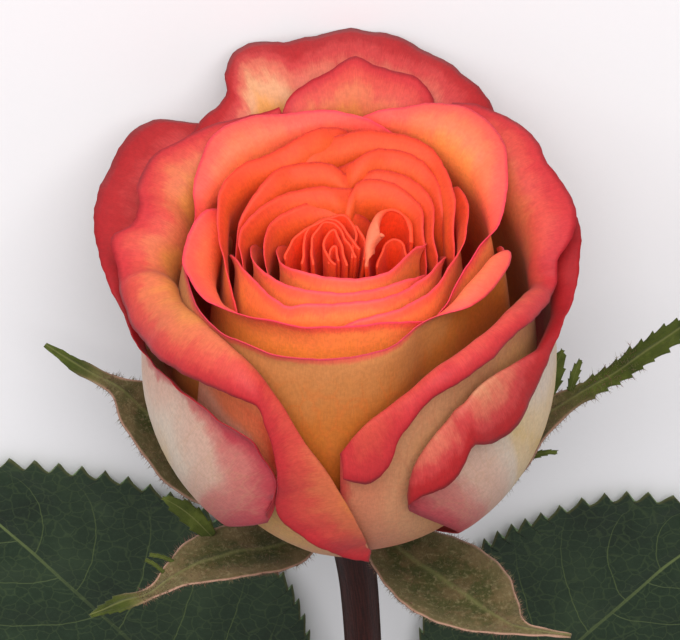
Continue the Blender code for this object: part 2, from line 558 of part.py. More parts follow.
def prickle_rings(height, azimuth):
    """A small down-curved prickle, rooted inside the stem."""
    line = np.array(STEM_LINE)
    x, y, radius = (np.interp(height, line[:, 2], line[:, k]) for k in (0, 1, 3))
    out = around(azimuth, 1.0, 0.0)
    side = around(azimuth + 90.0, 1.0, 0.0)
    centre = np.array([x, y, height])
    rings = []
    for share in (0.0, 0.45, 0.75, 0.97):
        reach = radius - PRICKLE_ROOT + share * (PRICKLE_LENGTH + PRICKLE_ROOT)
        size = PRICKLE_WIDTH * (1.0 - share) + PRICKLE_TIP
        middle = centre + out * reach - np.array([0.0, 0.0, PRICKLE_SINK * share ** 2])
        rings.append([middle + side * (0.5 * size * math.cos(a))
                      + np.array([0.0, 0.0, 1.5 * size * math.sin(a)])
                      for a in np.arange(6) * math.pi / 3])
    return rings


def fuse(name, first, others):
    """Joins the other meshes to the first by one Boolean union and returns the joined mesh."""
    scene = bpy.context.scene.collection
    host = bpy.data.objects.new(name, first)
    scene.objects.link(host)
    group = bpy.data.collections.new(name + "_pieces")
    scene.children.link(group)
    pieces = []
    for k, mesh in enumerate(others):
        piece = bpy.data.objects.new(f"{name}_piece_{k}", mesh)
        group.objects.link(piece)
        pieces.append(piece)
    union = host.modifiers.new("union", "BOOLEAN")
    union.operation = "UNION"
    union.operand_type = "COLLECTION"
    union.collection = group
    union.solver = "EXACT"
    bpy.context.view_layer.update()
    joined = bpy.data.meshes.new_from_object(host.evaluated_get(bpy.context.evaluated_depsgraph_get()))
    joined.name = name
    for thing in pieces + [host]:
        bpy.data.objects.remove(thing, do_unlink=True)
    bpy.data.collections.remove(group)
    joined.shade_smooth()
    joined.set_sharp_from_angle(angle=math.radians(45))
    return joined


def material(name, colour, roughness):
    made = bpy.data.materials.new(name)
    made.use_nodes = True
    shader = made.node_tree.nodes["Principled BSDF"]
    shader.inputs["Base Color"].default_value = (*colour, 1.0)
    shader.inputs["Roughness"].default_value = roughness
    return made


def add_object(name, mesh, parent, surface):
    thing = bpy.data.objects.new(name, mesh)
    bpy.context.scene.collection.objects.link(thing)
    thing.parent = parent
    mesh.materials.clear()
    mesh.materials.append(surface)
    return thing


def add_petals(flower):
    for petal in PETALS:
        name = petal["name"]
        inner = name.startswith("petal_inner")
        columns = INNER_COLUMNS if inner else OUTER_COLUMNS + len(petal["rim"]) // RIM_POINTS_PER_COLUMN
        grid = petal_grid(petal, columns, INNER_BODY_ROWS if inner else BODY_ROWS,
                          INNER_RIM_ROWS if inner else RIM_ROWS)
        colour = (0.80, 0.17, 0.04) if inner else (0.78, 0.22, 0.10)
        mesh = sheet_mesh(name, grid, PETAL_THICKNESS)
        add_object(name, mesh, flower, material(name, colour, 0.5))


def add_heart(flower):
    """The innermost folded petaloids, rooted in one small core."""
    rings = [[(x + r * math.cos(a), r * math.sin(a), z)
              for a in np.arange(HEART_SIDES) * 2 * math.pi / HEART_SIDES] for x, r, z in HEART_CORE]
    core = lofted_mesh("heart_core", rings)
    folds = [sheet_mesh(f"heart_fold_{k}", fold_grid(rim, HEART_CENTRE), HEART_THICKNESS)
             for k, rim in enumerate(HEART_FOLDS)]
    folds.append(sheet_mesh("heart_curled", fold_grid(CURLED_FOLD, CURLED_ROOT),
                            HEART_THICKNESS))
    joined = fuse("petals_heart", core, folds)
    add_object("petals_heart", joined, flower, material("petals_heart", (0.78, 0.12, 0.03), 0.5))


def add_stem(flower):
    """Stem, hip and receptacle in one, with a slanting cut at the foot and a few prickles."""
    line = smooth_path(STEM_LINE, STEM_ROWS)
    rings = tube_rings(line, STEM_SIDES)
    foot = np.array(rings[0])
    foot[:, 2] += (foot[:, 0] - foot[:, 0].mean()) * CUT_SLANT
    rings[0] = foot
    body = lofted_mesh("stem_body", rings)
    prickles = [lofted_mesh(f"prickle_{k}", prickle_rings(*place)) for k, place in enumerate(PRICKLES)]
    joined = fuse("stem", body, prickles)
    add_object("stem", joined, flower, material("stem", (0.09, 0.05, 0.05), 0.55))


def add_sepals(flower):
    for sepal in SEPALS:
        name = sepal["name"]
        mesh = sheet_mesh(name, sepal_grid(sepal, SEPAL_ROWS, SEPAL_COLUMNS), SEPAL_THICKNESS)
        add_object(name, mesh, flower, material(name, (0.11, 0.11, 0.05), 0.8))


def add_leaves(table):
    for leaf in LEAVES:
        name = leaf["name"]
        blade = sheet_mesh(name + "_blade", leaf_grid(leaf), LEAF_THICKNESS, 0.0)
        stalk = smooth_path(leaf["petiole"], PETIOLE_ROWS)
        petiole = lofted_mesh(name + "_petiole", tube_rings(stalk, PETIOLE_SIDES))
        joined = fuse(name, blade, [petiole])
        add_object(name, joined, table, material(name, (0.015, 0.045, 0.025), 0.45))


def lying_matrix():
    """Lays the flower's frame down: its front faces up and its bloom points along -Y."""
    tilt_sine, tilt_cosine = math.sin(LIE_ANGLE), math.cos(LIE_ANGLE)
    return Matrix(((-1.0, 0.0, 0.0, 0.0),
                   (0.0, -tilt_sine, -tilt_cosine, 0.0),
                   (0.0, -tilt_cosine, tilt_sine, LIE_HEIGHT * MM),
                   (0.0, 0.0, 0.0, 1.0)))


def main():
    for thing in list(bpy.data.objects):
        bpy.data.objects.remove(thing, do_unlink=True)
    table = bpy.data.objects.new("table", None)
    flower = bpy.data.objects.new("flower", None)
    for frame in (table, flower):
        bpy.context.scene.collection.objects.link(frame)
    table.location = (-FOOTPRINT_CENTRE[0] * MM, -FOOTPRINT_CENTRE[1] * MM, 0.0)
    flower.parent = table
    flower.matrix_local = lying_matrix()
    bpy.context.view_layer.update()
    add_petals(flower)
    add_heart(flower)
    add_stem(flower)
    add_sepals(flower)
    add_leaves(table)


main()
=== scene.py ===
"""The cut rose, dressed: fine petals, sepals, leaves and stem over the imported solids.

The flower is modelled in its own frame, in millimetres: the origin is where the outer petals leave
the hip, +Z runs up the bloom's axis and -Y is the bloom's front. An azimuth is counted round that
axis from the front, with 90 at +X. One matrix lays it down on its back petals, leaves and cut end.
"""

import math

import bpy
import numpy as np
from mathutils import Matrix, Vector


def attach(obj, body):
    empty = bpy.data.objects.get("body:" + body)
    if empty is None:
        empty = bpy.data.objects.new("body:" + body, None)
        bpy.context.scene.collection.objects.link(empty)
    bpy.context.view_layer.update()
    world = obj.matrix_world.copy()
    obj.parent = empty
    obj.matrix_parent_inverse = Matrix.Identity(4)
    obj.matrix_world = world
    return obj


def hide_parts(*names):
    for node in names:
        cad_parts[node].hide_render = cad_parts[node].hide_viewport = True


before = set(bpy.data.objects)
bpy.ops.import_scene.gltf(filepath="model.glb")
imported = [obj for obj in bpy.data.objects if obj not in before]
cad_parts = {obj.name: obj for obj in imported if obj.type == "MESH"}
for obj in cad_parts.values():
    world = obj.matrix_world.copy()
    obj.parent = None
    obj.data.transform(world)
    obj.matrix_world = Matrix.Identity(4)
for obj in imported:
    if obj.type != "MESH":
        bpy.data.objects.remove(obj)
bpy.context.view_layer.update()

MM = 0.001
BODY = "root"

# Bloom: nested cup-shaped layers, each named by its belly radius
BELLY_RADIUS = 32.5
BELLY_HEIGHT = 30.7
MOUTH_HEIGHT = 57.0
MOUTH_SHARE = 0.89
MOUTH_POWER = 1.8
BASE_HEIGHT = -1.8
LAYER_RISE = 0.62
CLAW_SPREAD = 34.0
CLAW_SPREAD_SHARE = 0.4
OPENING_END = 0.6
CREASE_DROP = 2.5
CREASE_DROP_PER_FLARE = 0.55
INNER_CREASE_DROP = 5.5
INNER_FLARE = -2.0
INNER_BACK_FLARE = 5.6
TUCK_LENGTH = 5.0
TUCK_TAPER = 9.0
TUCK_DROP = 6.0
RIM_HANDLE = 0.36
RIM_HANDLE_PER_TURN = 0.10
RIM_TURN_LIMIT = math.radians(168)
RECEPTACLE_RADIUS = 4.5
RECEPTACLE_TAPER = 0.13
SEAT_GAP = 0.6
PROFILE_STEPS = 60
CLAW_STEPS = 300
CURVE_STEP = 0.05
ROUGH_ROWS = 200
STAIN_ROWS = 80
TUCKED_LOOKS = ("inner", "third", "panel")

# How thick and how finely divided a petal is
PETAL_THICKNESS = 0.42
PETAL_EDGE_THICKNESS = 0.16
PETAL_TAPER = 5.0
SIDE_MARGIN = 1.5
BLUSH_REACH = 14.0
COLUMN_PITCH = 0.95
BODY_ROWS = 24
RIM_ROWS = 16
INNER_RIM_ROWS = 10
LEAST_HALF_WIDTH = 0.3

# Waves and nicks along a petal's margin: size, millimetres for each radian, phase for each petal
FLUTTER = ((0.8, 2.7, 1.7), (0.45, 1.4, 2.9), (0.15, 0.7, 0.7))
FLUTTER_FADE = 5.0
NICKS = ((0.5, 0.9, 1), (0.5, 0.41, 3))
NICK_SHARE = 0.35
NICK_FADE = 1.5
FAN_PER_COLUMN = 0.09
FAN_PER_PETAL = 3.0

# How the flower lies, with the middle of its footprint at the origin
LIE_ANGLE = math.radians(10.0)
LIE_HEIGHT = 32.32
FOOTPRINT_CENTRE = (1.05, 49.975)

# The photograph's viewpoint, in the flower's frame
VIEW_ELEVATION = math.radians(47.0)
VIEW_TARGET = np.array([-1.56, 0.0, 39.9])
VIEW_DISTANCE = 1000.0
VIEW_PIXELS_PER_MM = 6.4
VIEW_WIDTH_PIXELS = 680
SENSOR_WIDTH = 36.0
VIEW_AWAY = np.array([0.0, -math.cos(VIEW_ELEVATION), math.sin(VIEW_ELEVATION)])
VIEW_UP = np.array([0.0, math.sin(VIEW_ELEVATION), math.cos(VIEW_ELEVATION)])

# The paper under the flower, which changes tone from the stem toward the bloom's open end
FLOOR_SIZE = 6.0
FLOOR_HEIGHT = -0.0002
FLOOR_STEM_Y = 0.03
FLOOR_BLOOM_Y = -0.16

# Soft lights: name, place, size in metres and watts, all turned to the bloom
BLOOM_PLACE = (0.0, -0.085, 0.035)
LIGHTS = [("key", (0.10, -0.95, 0.50), (0.7, 0.5), 5.6),
          ("front", (-0.17, -0.87, 0.81), (0.9, 0.9), 11.8),
          ("side", (0.60, -0.66, 0.50), (0.5, 0.5), 2.6)]
WORLD_STRENGTH = 0.52


def lying_matrix():
    """From the flower's frame, in millimetres, to the row's, in metres."""
    sine, cosine = math.sin(LIE_ANGLE), math.cos(LIE_ANGLE)
    return np.array([[-1.0, 0.0, 0.0, -FOOTPRINT_CENTRE[0]],
                     [0.0, -sine, -cosine, -FOOTPRINT_CENTRE[1]],
                     [0.0, -cosine, sine, LIE_HEIGHT],
                     [0.0, 0.0, 0.0, 1.0 / MM]]) * MM


LYING = lying_matrix()
TABLE = np.array([[MM, 0.0, 0.0, -FOOTPRINT_CENTRE[0] * MM],
                  [0.0, MM, 0.0, -FOOTPRINT_CENTRE[1] * MM],
                  [0.0, 0.0, MM, 0.0],
                  [0.0, 0.0, 0.0, 1.0]])


def body_radius(layer, height):
    """Radius of a layer's cup at a height."""
    base = BASE_HEIGHT + LAYER_RISE * (BELLY_RADIUS - layer)
    if height < BELLY_HEIGHT:
        depth = (BELLY_HEIGHT - height) / (BELLY_HEIGHT - base)
        return layer * math.sqrt(max(0.0, 1.0 - depth * depth))
    rise = (height - BELLY_HEIGHT) / (MOUTH_HEIGHT - BELLY_HEIGHT)
    return layer * (1.0 - (1.0 - MOUTH_SHARE) * rise ** MOUTH_POWER)


def layer_through(radius, height):
    """The layer whose cup has a radius at a height in its upper half."""
    return radius / body_radius(1.0, height)


def claw_height(layer):
    """Height at which a layer's cup meets the receptacle."""
    for height in np.linspace(BASE_HEIGHT, BELLY_HEIGHT, CLAW_STEPS):
        if body_radius(layer, height) > RECEPTACLE_RADIUS - RECEPTACLE_TAPER * height + SEAT_GAP:
            break
    return float(height)


def smooth_path(points, count):
    """Reads count rows, evenly by length, from a Catmull-Rom curve through the given rows."""
    points = np.asarray(points, float)
    ends = np.vstack([2 * points[0] - points[1], points, 2 * points[-1] - points[-2]])
    fine = []
    for i in range(1, len(ends) - 2):
        before, start, end, after = ends[i - 1], ends[i], ends[i + 1], ends[i + 2]
        for t in np.arange(0.0, 1.0, CURVE_STEP):
            fine.append(0.5 * (2 * start + (end - before) * t
                               + (2 * before - 5 * start + 4 * end - after) * t ** 2
                               + (3 * start - before - 3 * end + after) * t ** 3))
    fine.append(points[-1])
    return even_rows(np.array(fine), count)


def even_rows(path, count):
    """Resamples a path to count rows at even steps of length."""
    along = path_length(path)
    wanted = np.linspace(0.0, along[-1], count)
    return np.stack([np.interp(wanted, along, path[:, k]) for k in range(path.shape[1])], axis=1)


def path_length(path):
    """How far along a path each of its points lies."""
    steps = np.linalg.norm(np.diff(path[:, :3], axis=0), axis=1)
    return np.concatenate([[0.0], np.cumsum(steps)])


def grid_length(grid, axis):
    """How far along its columns or rows each point of a grid lies."""
    steps = np.diff(grid, axis=axis, prepend=np.take(grid, [0], axis=axis))
    return np.cumsum(np.linalg.norm(steps, axis=2), axis=axis)


def evenly(values, shares):
    """Reads a list of evenly spread values at shares of its length."""
    return np.interp(shares, np.linspace(0, 1, len(values)), values)


def thickened(margin, edge, full, taper):
    """Thickness of a blade that grows from its edge inward."""
    return edge + (full - edge) * (1 - np.exp(-margin / taper))


def unit(vector):
    return vector / np.linalg.norm(vector)


def around(azimuth, radius, height):
    """A point given by its azimuth in degrees, radius and height."""
    angle = math.radians(azimuth)
    return np.array([radius * math.sin(angle), -radius * math.cos(angle), height])


def smooth_step(value, low, high):
    share = np.clip((value - low) / (high - low), 0.0, 1.0)
    return share * share * (3 - 2 * share)


def rim_arc(start, lean, end, count):
    """A smooth turn in the (radius, height) plane from a start that leans out by lean to an end."""
    chord = end - start
    length = math.hypot(*chord)
    heading = math.atan2(chord[0], chord[1])
    last = min(2 * heading - lean, RIM_TURN_LIMIT)
    handle = length * (RIM_HANDLE + RIM_HANDLE_PER_TURN * abs(last - lean))
    leave = start + handle * np.array([math.sin(lean), math.cos(lean)])
    arrive = end - handle * np.array([math.sin(last), math.cos(last)])
    t = np.linspace(0.0, 1.0, count)[:, None]
    return ((1 - t) ** 3 * start + 3 * t * (1 - t) ** 2 * leave
            + 3 * t ** 2 * (1 - t) * arrive + t ** 3 * end)


def petal_column(rim, claw, narrow, layer_at, rim_rows):
    """Points from the claw to one point of the rim: up the layer's cup, then over its crease."""
    azimuth, radius, height, crease_azimuth, crease_height, layer = rim
    spread = claw + np.clip((crease_azimuth - claw) * CLAW_SPREAD_SHARE, -CLAW_SPREAD, CLAW_SPREAD)
    low = claw_height(layer_at(spread))
    steps = np.linspace(0.0, 1.0, PROFILE_STEPS)
    heights = low + (crease_height - low) * (1 - np.cos(steps * math.pi / 2))
    profile = np.array([[body_radius(layer, h), h] for h in heights])
    share = path_length(profile) / path_length(profile)[-1]
    opened = share ** narrow if narrow else np.sin(np.minimum(1.0, share / OPENING_END) * math.pi / 2)
    bearing = spread + (crease_azimuth - spread) * opened
    profile[:, 0] = [body_radius(layer_at(b), h) for b, h in zip(bearing, heights)]
    points = [around(*(np.interp(k, share, values) for values in (bearing, *profile.T)))
              for k in np.linspace(0.0, 1.0, BODY_ROWS + 1)]
    tangent = profile[-1] - profile[-4]
    lean = math.atan2(tangent[0], tangent[1])
    arc = rim_arc(profile[-1], lean, np.array([radius, height]), rim_rows + 1)
    for k in range(1, rim_rows + 1):
        ease = k / rim_rows
        turned = crease_azimuth + (azimuth - crease_azimuth) * smooth_step(ease, 0, 1)
        points.append(around(turned, *arc[k]))
    return points


def full_rim(petal):
    """Rim rows with crease and layer filled in: azimuth, radius, height, crease, crease height, layer."""
    rows = []
    count = len(petal["rim"])
    for i, point in enumerate(petal["rim"]):
        azimuth, radius, height = point[:3]
        if "layer" in petal:
            layer = float(evenly(petal["layer"], i / (count - 1)))
            flare = radius - body_radius(layer, height)
            drop = CREASE_DROP + CREASE_DROP_PER_FLARE * max(0.0, flare) + petal.get("early", 0.0)
            crease_height = height - drop
        else:
            crease_height = height - INNER_CREASE_DROP
            behind = (1 - math.cos(math.radians(azimuth))) / 2
            layer = layer_through(radius - INNER_FLARE - INNER_BACK_FLARE * behind, crease_height)
        crease_azimuth = azimuth
        if len(point) == 5:
            crease_azimuth, crease_height = point[3:]
        rows.append((azimuth, radius, height, crease_azimuth, crease_height, layer))
    return rows


PETALS = [
    dict(name="petal_outer_left", look="outer", layer=(32.8, 32.3), narrow=(1.4, 1.4, 1.6, 2.4), flutter=0.35,
         flush=(1.4, 1.5, 1.4, 1.2, 1.1, 1.1, 1.2, 1, 0.7),
         backflush_and_shade=(1, 1, 1, 1, 1, 0.8, 0.7, 1.4, 3.8, 4.6), rim=[
             (-145, 40.6, 50), (-141, 45.2, 49), (-137, 48, 48), (-131, 47.8, 47), (-123, 46.4, 46),
             (-112, 43.4, 46), (-102, 40.2, 46), (-92, 37.2, 45), (-84, 34.6, 42.5), (-72, 33, 42),
             (-58, 32.8, 45), (-49, 32.7, 46), (-40, 32.7, 44.8), (-33, 32.7, 44.6),
             (-27, 32.7, 43.8), (-23.2, 32.7, 41), (-21.3, 32.7, 38), (-20.8, 32.8, 34.5),
             (-21.8, 32.8, 31), (-23.6, 32.6, 28)]),
    dict(name="petal_outer_right", look="outer", narrow=(1.2, 1.2, 1.8, 2.6), flutter=0.3,
         layer=(32.3, 32.3, 32.3, 32.3, 32.2, 31.9, 31.5, 31.2, 31),
         flush=(1.2, 1.3, 1.3, 1.2, 1, 0.9, 0.8, 0.8, 0.8), backflush_and_shade=(0.5, 0.5, 0.6, 3.8), rim=[
             (128, 37, 51), (116, 37.5, 50.5), (107, 37.5, 50), (98, 36.2, 49.5), (90, 35.2, 48),
             (80, 34, 47, 79, 43), (70, 33.6, 46.5, 68, 45), (63, 33.8, 45.5, 60, 47),
             (55, 34, 43, 51, 48), (47, 34.2, 40.5, 44, 48), (41, 34.2, 40, 39, 47.5),
             (36, 34.2, 41.5, 35, 46.5), (33, 34.2, 42, 32, 46), (30, 34.4, 38.5, 29, 44),
             (25, 34.4, 36, 24, 41.5), (18, 33.8, 34, 18.5, 37.5), (16, 33, 32.2, 16.5, 32.5),
             (16.2, 32.2, 30.6, 17.2, 28.5)]),
    dict(name="petal_outer_back", look="outer", layer=(31, 31.6), flutter=0.4,
         flush=(1, 0.7, 0.6, 1, 1.1, 1, 0.9, 1.1, 1.2), rim=[
             (225, 36.3, 54), (219, 36.8, 56), (211, 37.5, 57.5), (208, 41.8, 58), (204, 44.6, 59),
             (198, 44, 60), (194, 41, 61), (188, 42.2, 61), (180, 43.6, 61), (172, 42.2, 61),
             (164, 41.2, 60.5), (157, 40, 60), (150, 38.8, 58.5), (143, 37.6, 56), (138, 36, 52)]),
    dict(name="petal_second_left", look="second", flutter=0.3,
         layer=(29.4, 29, 28.2, 27.8, 28, 29.2, 30.3, 30.8, 30.8),
         blush=("petal_outer_left", 8, 17),
         flush=(0.6, 0.6, 0.7, 0.9, 0.8, 0.7, 0.8, 1, 1, 1, 1.2, 1.3), rim=[
             (-158, 29.5, 59.5), (-153, 30.3, 58.5), (-144, 32.6, 57.8), (-132, 35, 56.4),
             (-125, 38, 54), (-118, 37.8, 52), (-112, 35.4, 52), (-106, 35.6, 51), (-102, 38.2, 50),
             (-95, 36.4, 49), (-88, 35.4, 47, -88, 46), (-78, 34.4, 46, -78, 48),
             (-65, 33.5, 48, -64, 51), (-52, 33, 50, -52, 52.5), (-42, 32.5, 51, -43, 53),
             (-33, 31.8, 51.5, -35, 52.5), (-27, 31.3, 50.5, -28, 51), (-24, 31.8, 47, -21, 48),
             (-21, 32.4, 42, -14, 43), (-20, 32.8, 36, -6, 36.5), (-20, 32.9, 29, -1, 31),
             (-15, 32.6, 25.5, 2, 26.5), (-8, 31.8, 22, 4, 22), (-1, 30.3, 18, 5.5, 18.5),
             (6, 29, 15.5, 7, 16)]),
    dict(name="petal_second_right", look="second", flutter=0.28,
         layer=(29.9, 29.8, 29.5, 29.2, 29.2, 29.4, 29.4, 29.4, 29.4),
         flush=(0.8, 0.9, 1, 1.3, 1.2, 0.9, 0.8, 0.9, 1, 1.3, 1.7, 1.8), rim=[
             (150, 32.2, 60), (141, 34.6, 59.5), (134, 36.3, 58.5), (126, 36.5, 57.5),
             (120, 35.5, 56.5), (114, 36.3, 55.5), (106, 36.6, 54.5), (99, 35, 53),
             (94, 32.4, 51.5), (90, 32.2, 50), (82, 31.6, 50, 82, 49), (72, 30.8, 52, 72, 52),
             (60, 30.2, 54, 59, 54), (48, 30.2, 54, 47, 54.5), (36, 30.2, 53.5, 36, 54),
             (26, 30.4, 52.5, 26, 53), (20, 30.7, 50, 19, 51), (14, 31.2, 46, 12, 48.5),
             (11, 31.8, 41, 6, 46), (5, 32, 37, 1, 43), (-2, 31, 37.5, -3, 40)]),
    dict(name="petal_second_back", look="second", layer=(28, 28.4), early=2.5, flutter=0.3,
         flush=(0.8, 0.7, 0.8, 0.9, 1), rim=[
             (203, 27.6, 60), (197, 29.8, 62), (187, 31.2, 63.5), (179, 33.4, 64.5), (173, 32.3, 64),
             (162, 32.4, 63), (156, 31.3, 61.3), (154, 30.2, 59.5)]),
    dict(name="petal_third_back_left", look="third", layer=(28, 24.6), flutter=0.22,
         flush=(1, 1.1, 1.2, 1.2, 1), rim=[
             (246, 26.6, 52), (241, 28, 55), (232, 29.7, 57), (225, 30.5, 59), (215, 29.5, 60),
             (203, 26.6, 61), (189, 24.6, 62), (176, 23, 62), (164, 22.6, 61)]),
    dict(name="petal_third_back_right", look="third", flutter=0.25,
         layer=(26.9, 26.9, 26.4, 25.9, 25.5, 24.6, 22.6, 20.4, 19.6, 19.8),
         flush=(0.9, 0.9, 1.1, 1.2, 1, 0.9), rim=[
             (176, 25, 60.8), (163, 25.7, 62.3), (154, 27.6, 62.9), (145, 29.8, 62.7),
             (139, 31.1, 61.5), (132, 31.3, 60.5), (129, 31.1, 59.5), (122, 28.9, 59),
             (114, 26.8, 58), (107, 25, 57.4), (98, 22.4, 57), (91, 20.5, 57), (82, 19.2, 57),
             (73, 18.4, 56.8), (61, 18.1, 56.3), (49, 18.4, 55.4), (40, 18.6, 54)]),
    dict(name="petal_third_left", look="third", early=3, flutter=0.2,
         layer=(21.9, 22, 22, 22, 22, 22, 21.6, 20.9, 20.2, 19.4, 19.6),
         flush=(1, 1, 1, 0.8, 0.8), rim=[
             (-118, 22.8, 55), (-110, 24, 56), (-104, 24.8, 56), (-94, 25.6, 55), (-86, 25.9, 55),
             (-75, 25.4, 55.3), (-67, 24.9, 55.8), (-59, 24, 56.6), (-48, 22.4, 57.3),
             (-36, 20.9, 57.7), (-22, 19.6, 58), (-9, 18.4, 58), (13, 17.8, 57.6), (40, 18.4, 56)]),
    dict(name="petal_third_front", look="panel", flutter=0.15,
         layer=(26.8, 27.2, 27.6, 27.8, 28, 28.1, 28.2, 28.2, 28.2, 28.1, 28, 27.6, 26.8, 25.6,
                24, 22.2, 21.6, 21.4, 21.4, 21.6, 22.4, 23.6, 25, 25.4, 25.4),
         # Toward its right end the outer face's colours reach deeper, to a darker orange that paints the
         # shade falling there
         flush=(1, 1, 1, 1, 1), backflush_and_shade=(1, 1, 1, 0.8, 0.55, 0.45, 0.45), rim=[
             (-112, 24.6, 53.2), (-100, 25.2, 53.7), (-88, 25.6, 53.9), (-78, 25.6, 54), (-68, 25.6, 54.1),
             (-58, 25.8, 54.7), (-47, 26, 55.5), (-37, 25.9, 56.5), (-25, 25.6, 57),
             (-12, 25, 57.5), (-2, 24.3, 57.5), (8, 23.4, 57.5), (17, 22.4, 57.3), (24, 21.1, 57.2),
             (31, 20.1, 57.2, 31, 54.6), (38, 20, 57, 37, 54.6), (47, 21, 56.8, 46, 54.6),
             (57, 22.7, 56.6, 55, 54.8), (65, 23.5, 56.6, 63, 55), (73, 24.1, 56.6, 72, 55),
             (82, 24.8, 56.6, 81, 55), (88, 24.7, 56.4, 87, 54.6), (93, 23.7, 55.8, 92, 53.5)]),
    dict(name="petal_inner_01", tuck=(0.3, 0.6), rim=[
        (-70, 19.3, 53), (-80, 19.5, 55), (-96, 20.2, 57), (-105, 21.2, 58.5), (-110, 22, 59.5),
        (-118, 22, 60.5), (-128, 21.5, 61), (-136, 20.3, 61.3), (-146, 19.7, 61.5),
        (-155, 19.8, 62), (-166, 20.5, 62.3), (-175, 21.2, 62.3)]),
    dict(name="petal_inner_02", tuck=(0.2, 0), rim=[
        (209, 18, 60.5), (204, 18.2, 61), (189, 19.3, 61.3), (172, 20.6, 61.3), (158, 21.4, 61),
        (149, 21.6, 61), (141, 21.2, 60.5), (132, 20, 60), (123, 18.9, 60), (115, 17.9, 59.5),
        (106, 16.8, 58.5), (98, 16, 57.5)]),
    dict(name="petal_inner_03", tuck=(-0.2, 1.2), rim=[
        (254, 17.9, 57.5), (247, 17.5, 58.2), (238, 17.3, 59), (225, 17.4, 60), (216, 17.2, 60),
        (205, 16.3, 60), (189, 14.6, 60), (182, 13.6, 59.5)]),
    dict(name="petal_inner_04", tuck=(1.6, -0.8), rim=[
        (181, 15, 60.5), (172, 16.3, 60.5), (166, 17.6, 60.5), (156, 18.8, 60.3),
        (143, 18.9, 60), (137, 18.4, 59.5), (126, 17.4, 58.8), (116, 16.3, 58)]),
    dict(name="petal_inner_05", tuck=(0.3, 0.3), rim=[
        (124, 20.8, 58.5), (118, 20.4, 58), (111, 19.6, 58), (104, 18.7, 58), (95, 17.8, 57.8),
        (83, 16.9, 57.5), (70, 16.3, 57.3), (57, 15.9, 57.2), (40, 15.6, 57.2), (20, 15.6, 57.2),
        (3, 16, 57), (-6, 16.3, 56.5)]),
    dict(name="petal_inner_06", tuck=(0.4, 0), rim=[
        (-85, 18.1, 57), (-62, 17.2, 58), (-43, 16.8, 58.2), (-34, 17, 58), (-28, 15.8, 58.4),
        (-15, 14.5, 58.5), (-4, 13.6, 58.3), (12, 13.2, 58.2), (28, 13.2, 58), (53, 13.7, 57.6),
        (81, 14.4, 57.3)]),
    dict(name="petal_inner_07", tuck=(-0.4, 2.6), rim=[
        (276, 16.7, 57), (269, 17.1, 57.3), (264, 17, 58), (257, 16.5, 58.3), (244, 15, 59),
        (228, 13, 59.5), (209, 11.4, 59.5), (188, 10.4, 59.5)]),
    dict(name="petal_inner_08", tuck=(-0.6, 0), rim=[
        (-90, 15.4, 57.5), (-69, 15, 58), (-49, 14.3, 58.3), (-25, 12.4, 58.5), (9, 11.2, 58.3),
        (42, 11.8, 58), (60, 12.3, 57.5)]),
    dict(name="petal_inner_09", tuck=(-0.2, 0.2), rim=[
        (173, 13.8, 59.3), (159, 14.9, 59.3), (139, 15.5, 59), (120, 14.9, 58.3), (99, 13.2, 57.5)]),
    dict(name="petal_inner_10", tuck=(0, 1), rim=[
        (-72, 12.9, 55), (-89, 13.2, 57), (-99, 13.2, 57.5), (-109, 12.9, 57.6), (-124, 11.6, 57.8),
        (-142, 10.2, 58), (-160, 8.9, 58), (-170, 8.3, 58)]),
    dict(name="petal_inner_11", tuck=(1.7, 0.3), rim=[
        (184, 9.2, 58.5), (177, 11.4, 58.5), (165, 12.8, 58.8), (148, 13.4, 58.5), (128, 13.2, 58),
        (112, 12.3, 57.5), (102, 11.8, 56.6)]),
    dict(name="petal_inner_12", tuck=(-0.8, 0.4), rim=[
        (-98, 11.2, 56), (-75, 11.1, 56.5), (-56, 9.9, 57), (-38, 8.6, 57.2), (-15, 7.6, 57.3),
        (10, 7.4, 57.2), (34, 7.8, 57), (52, 8.3, 57.1), (68, 9.1, 57.3), (84, 10.4, 57.4),
        (94, 11.6, 57.3)]),
]

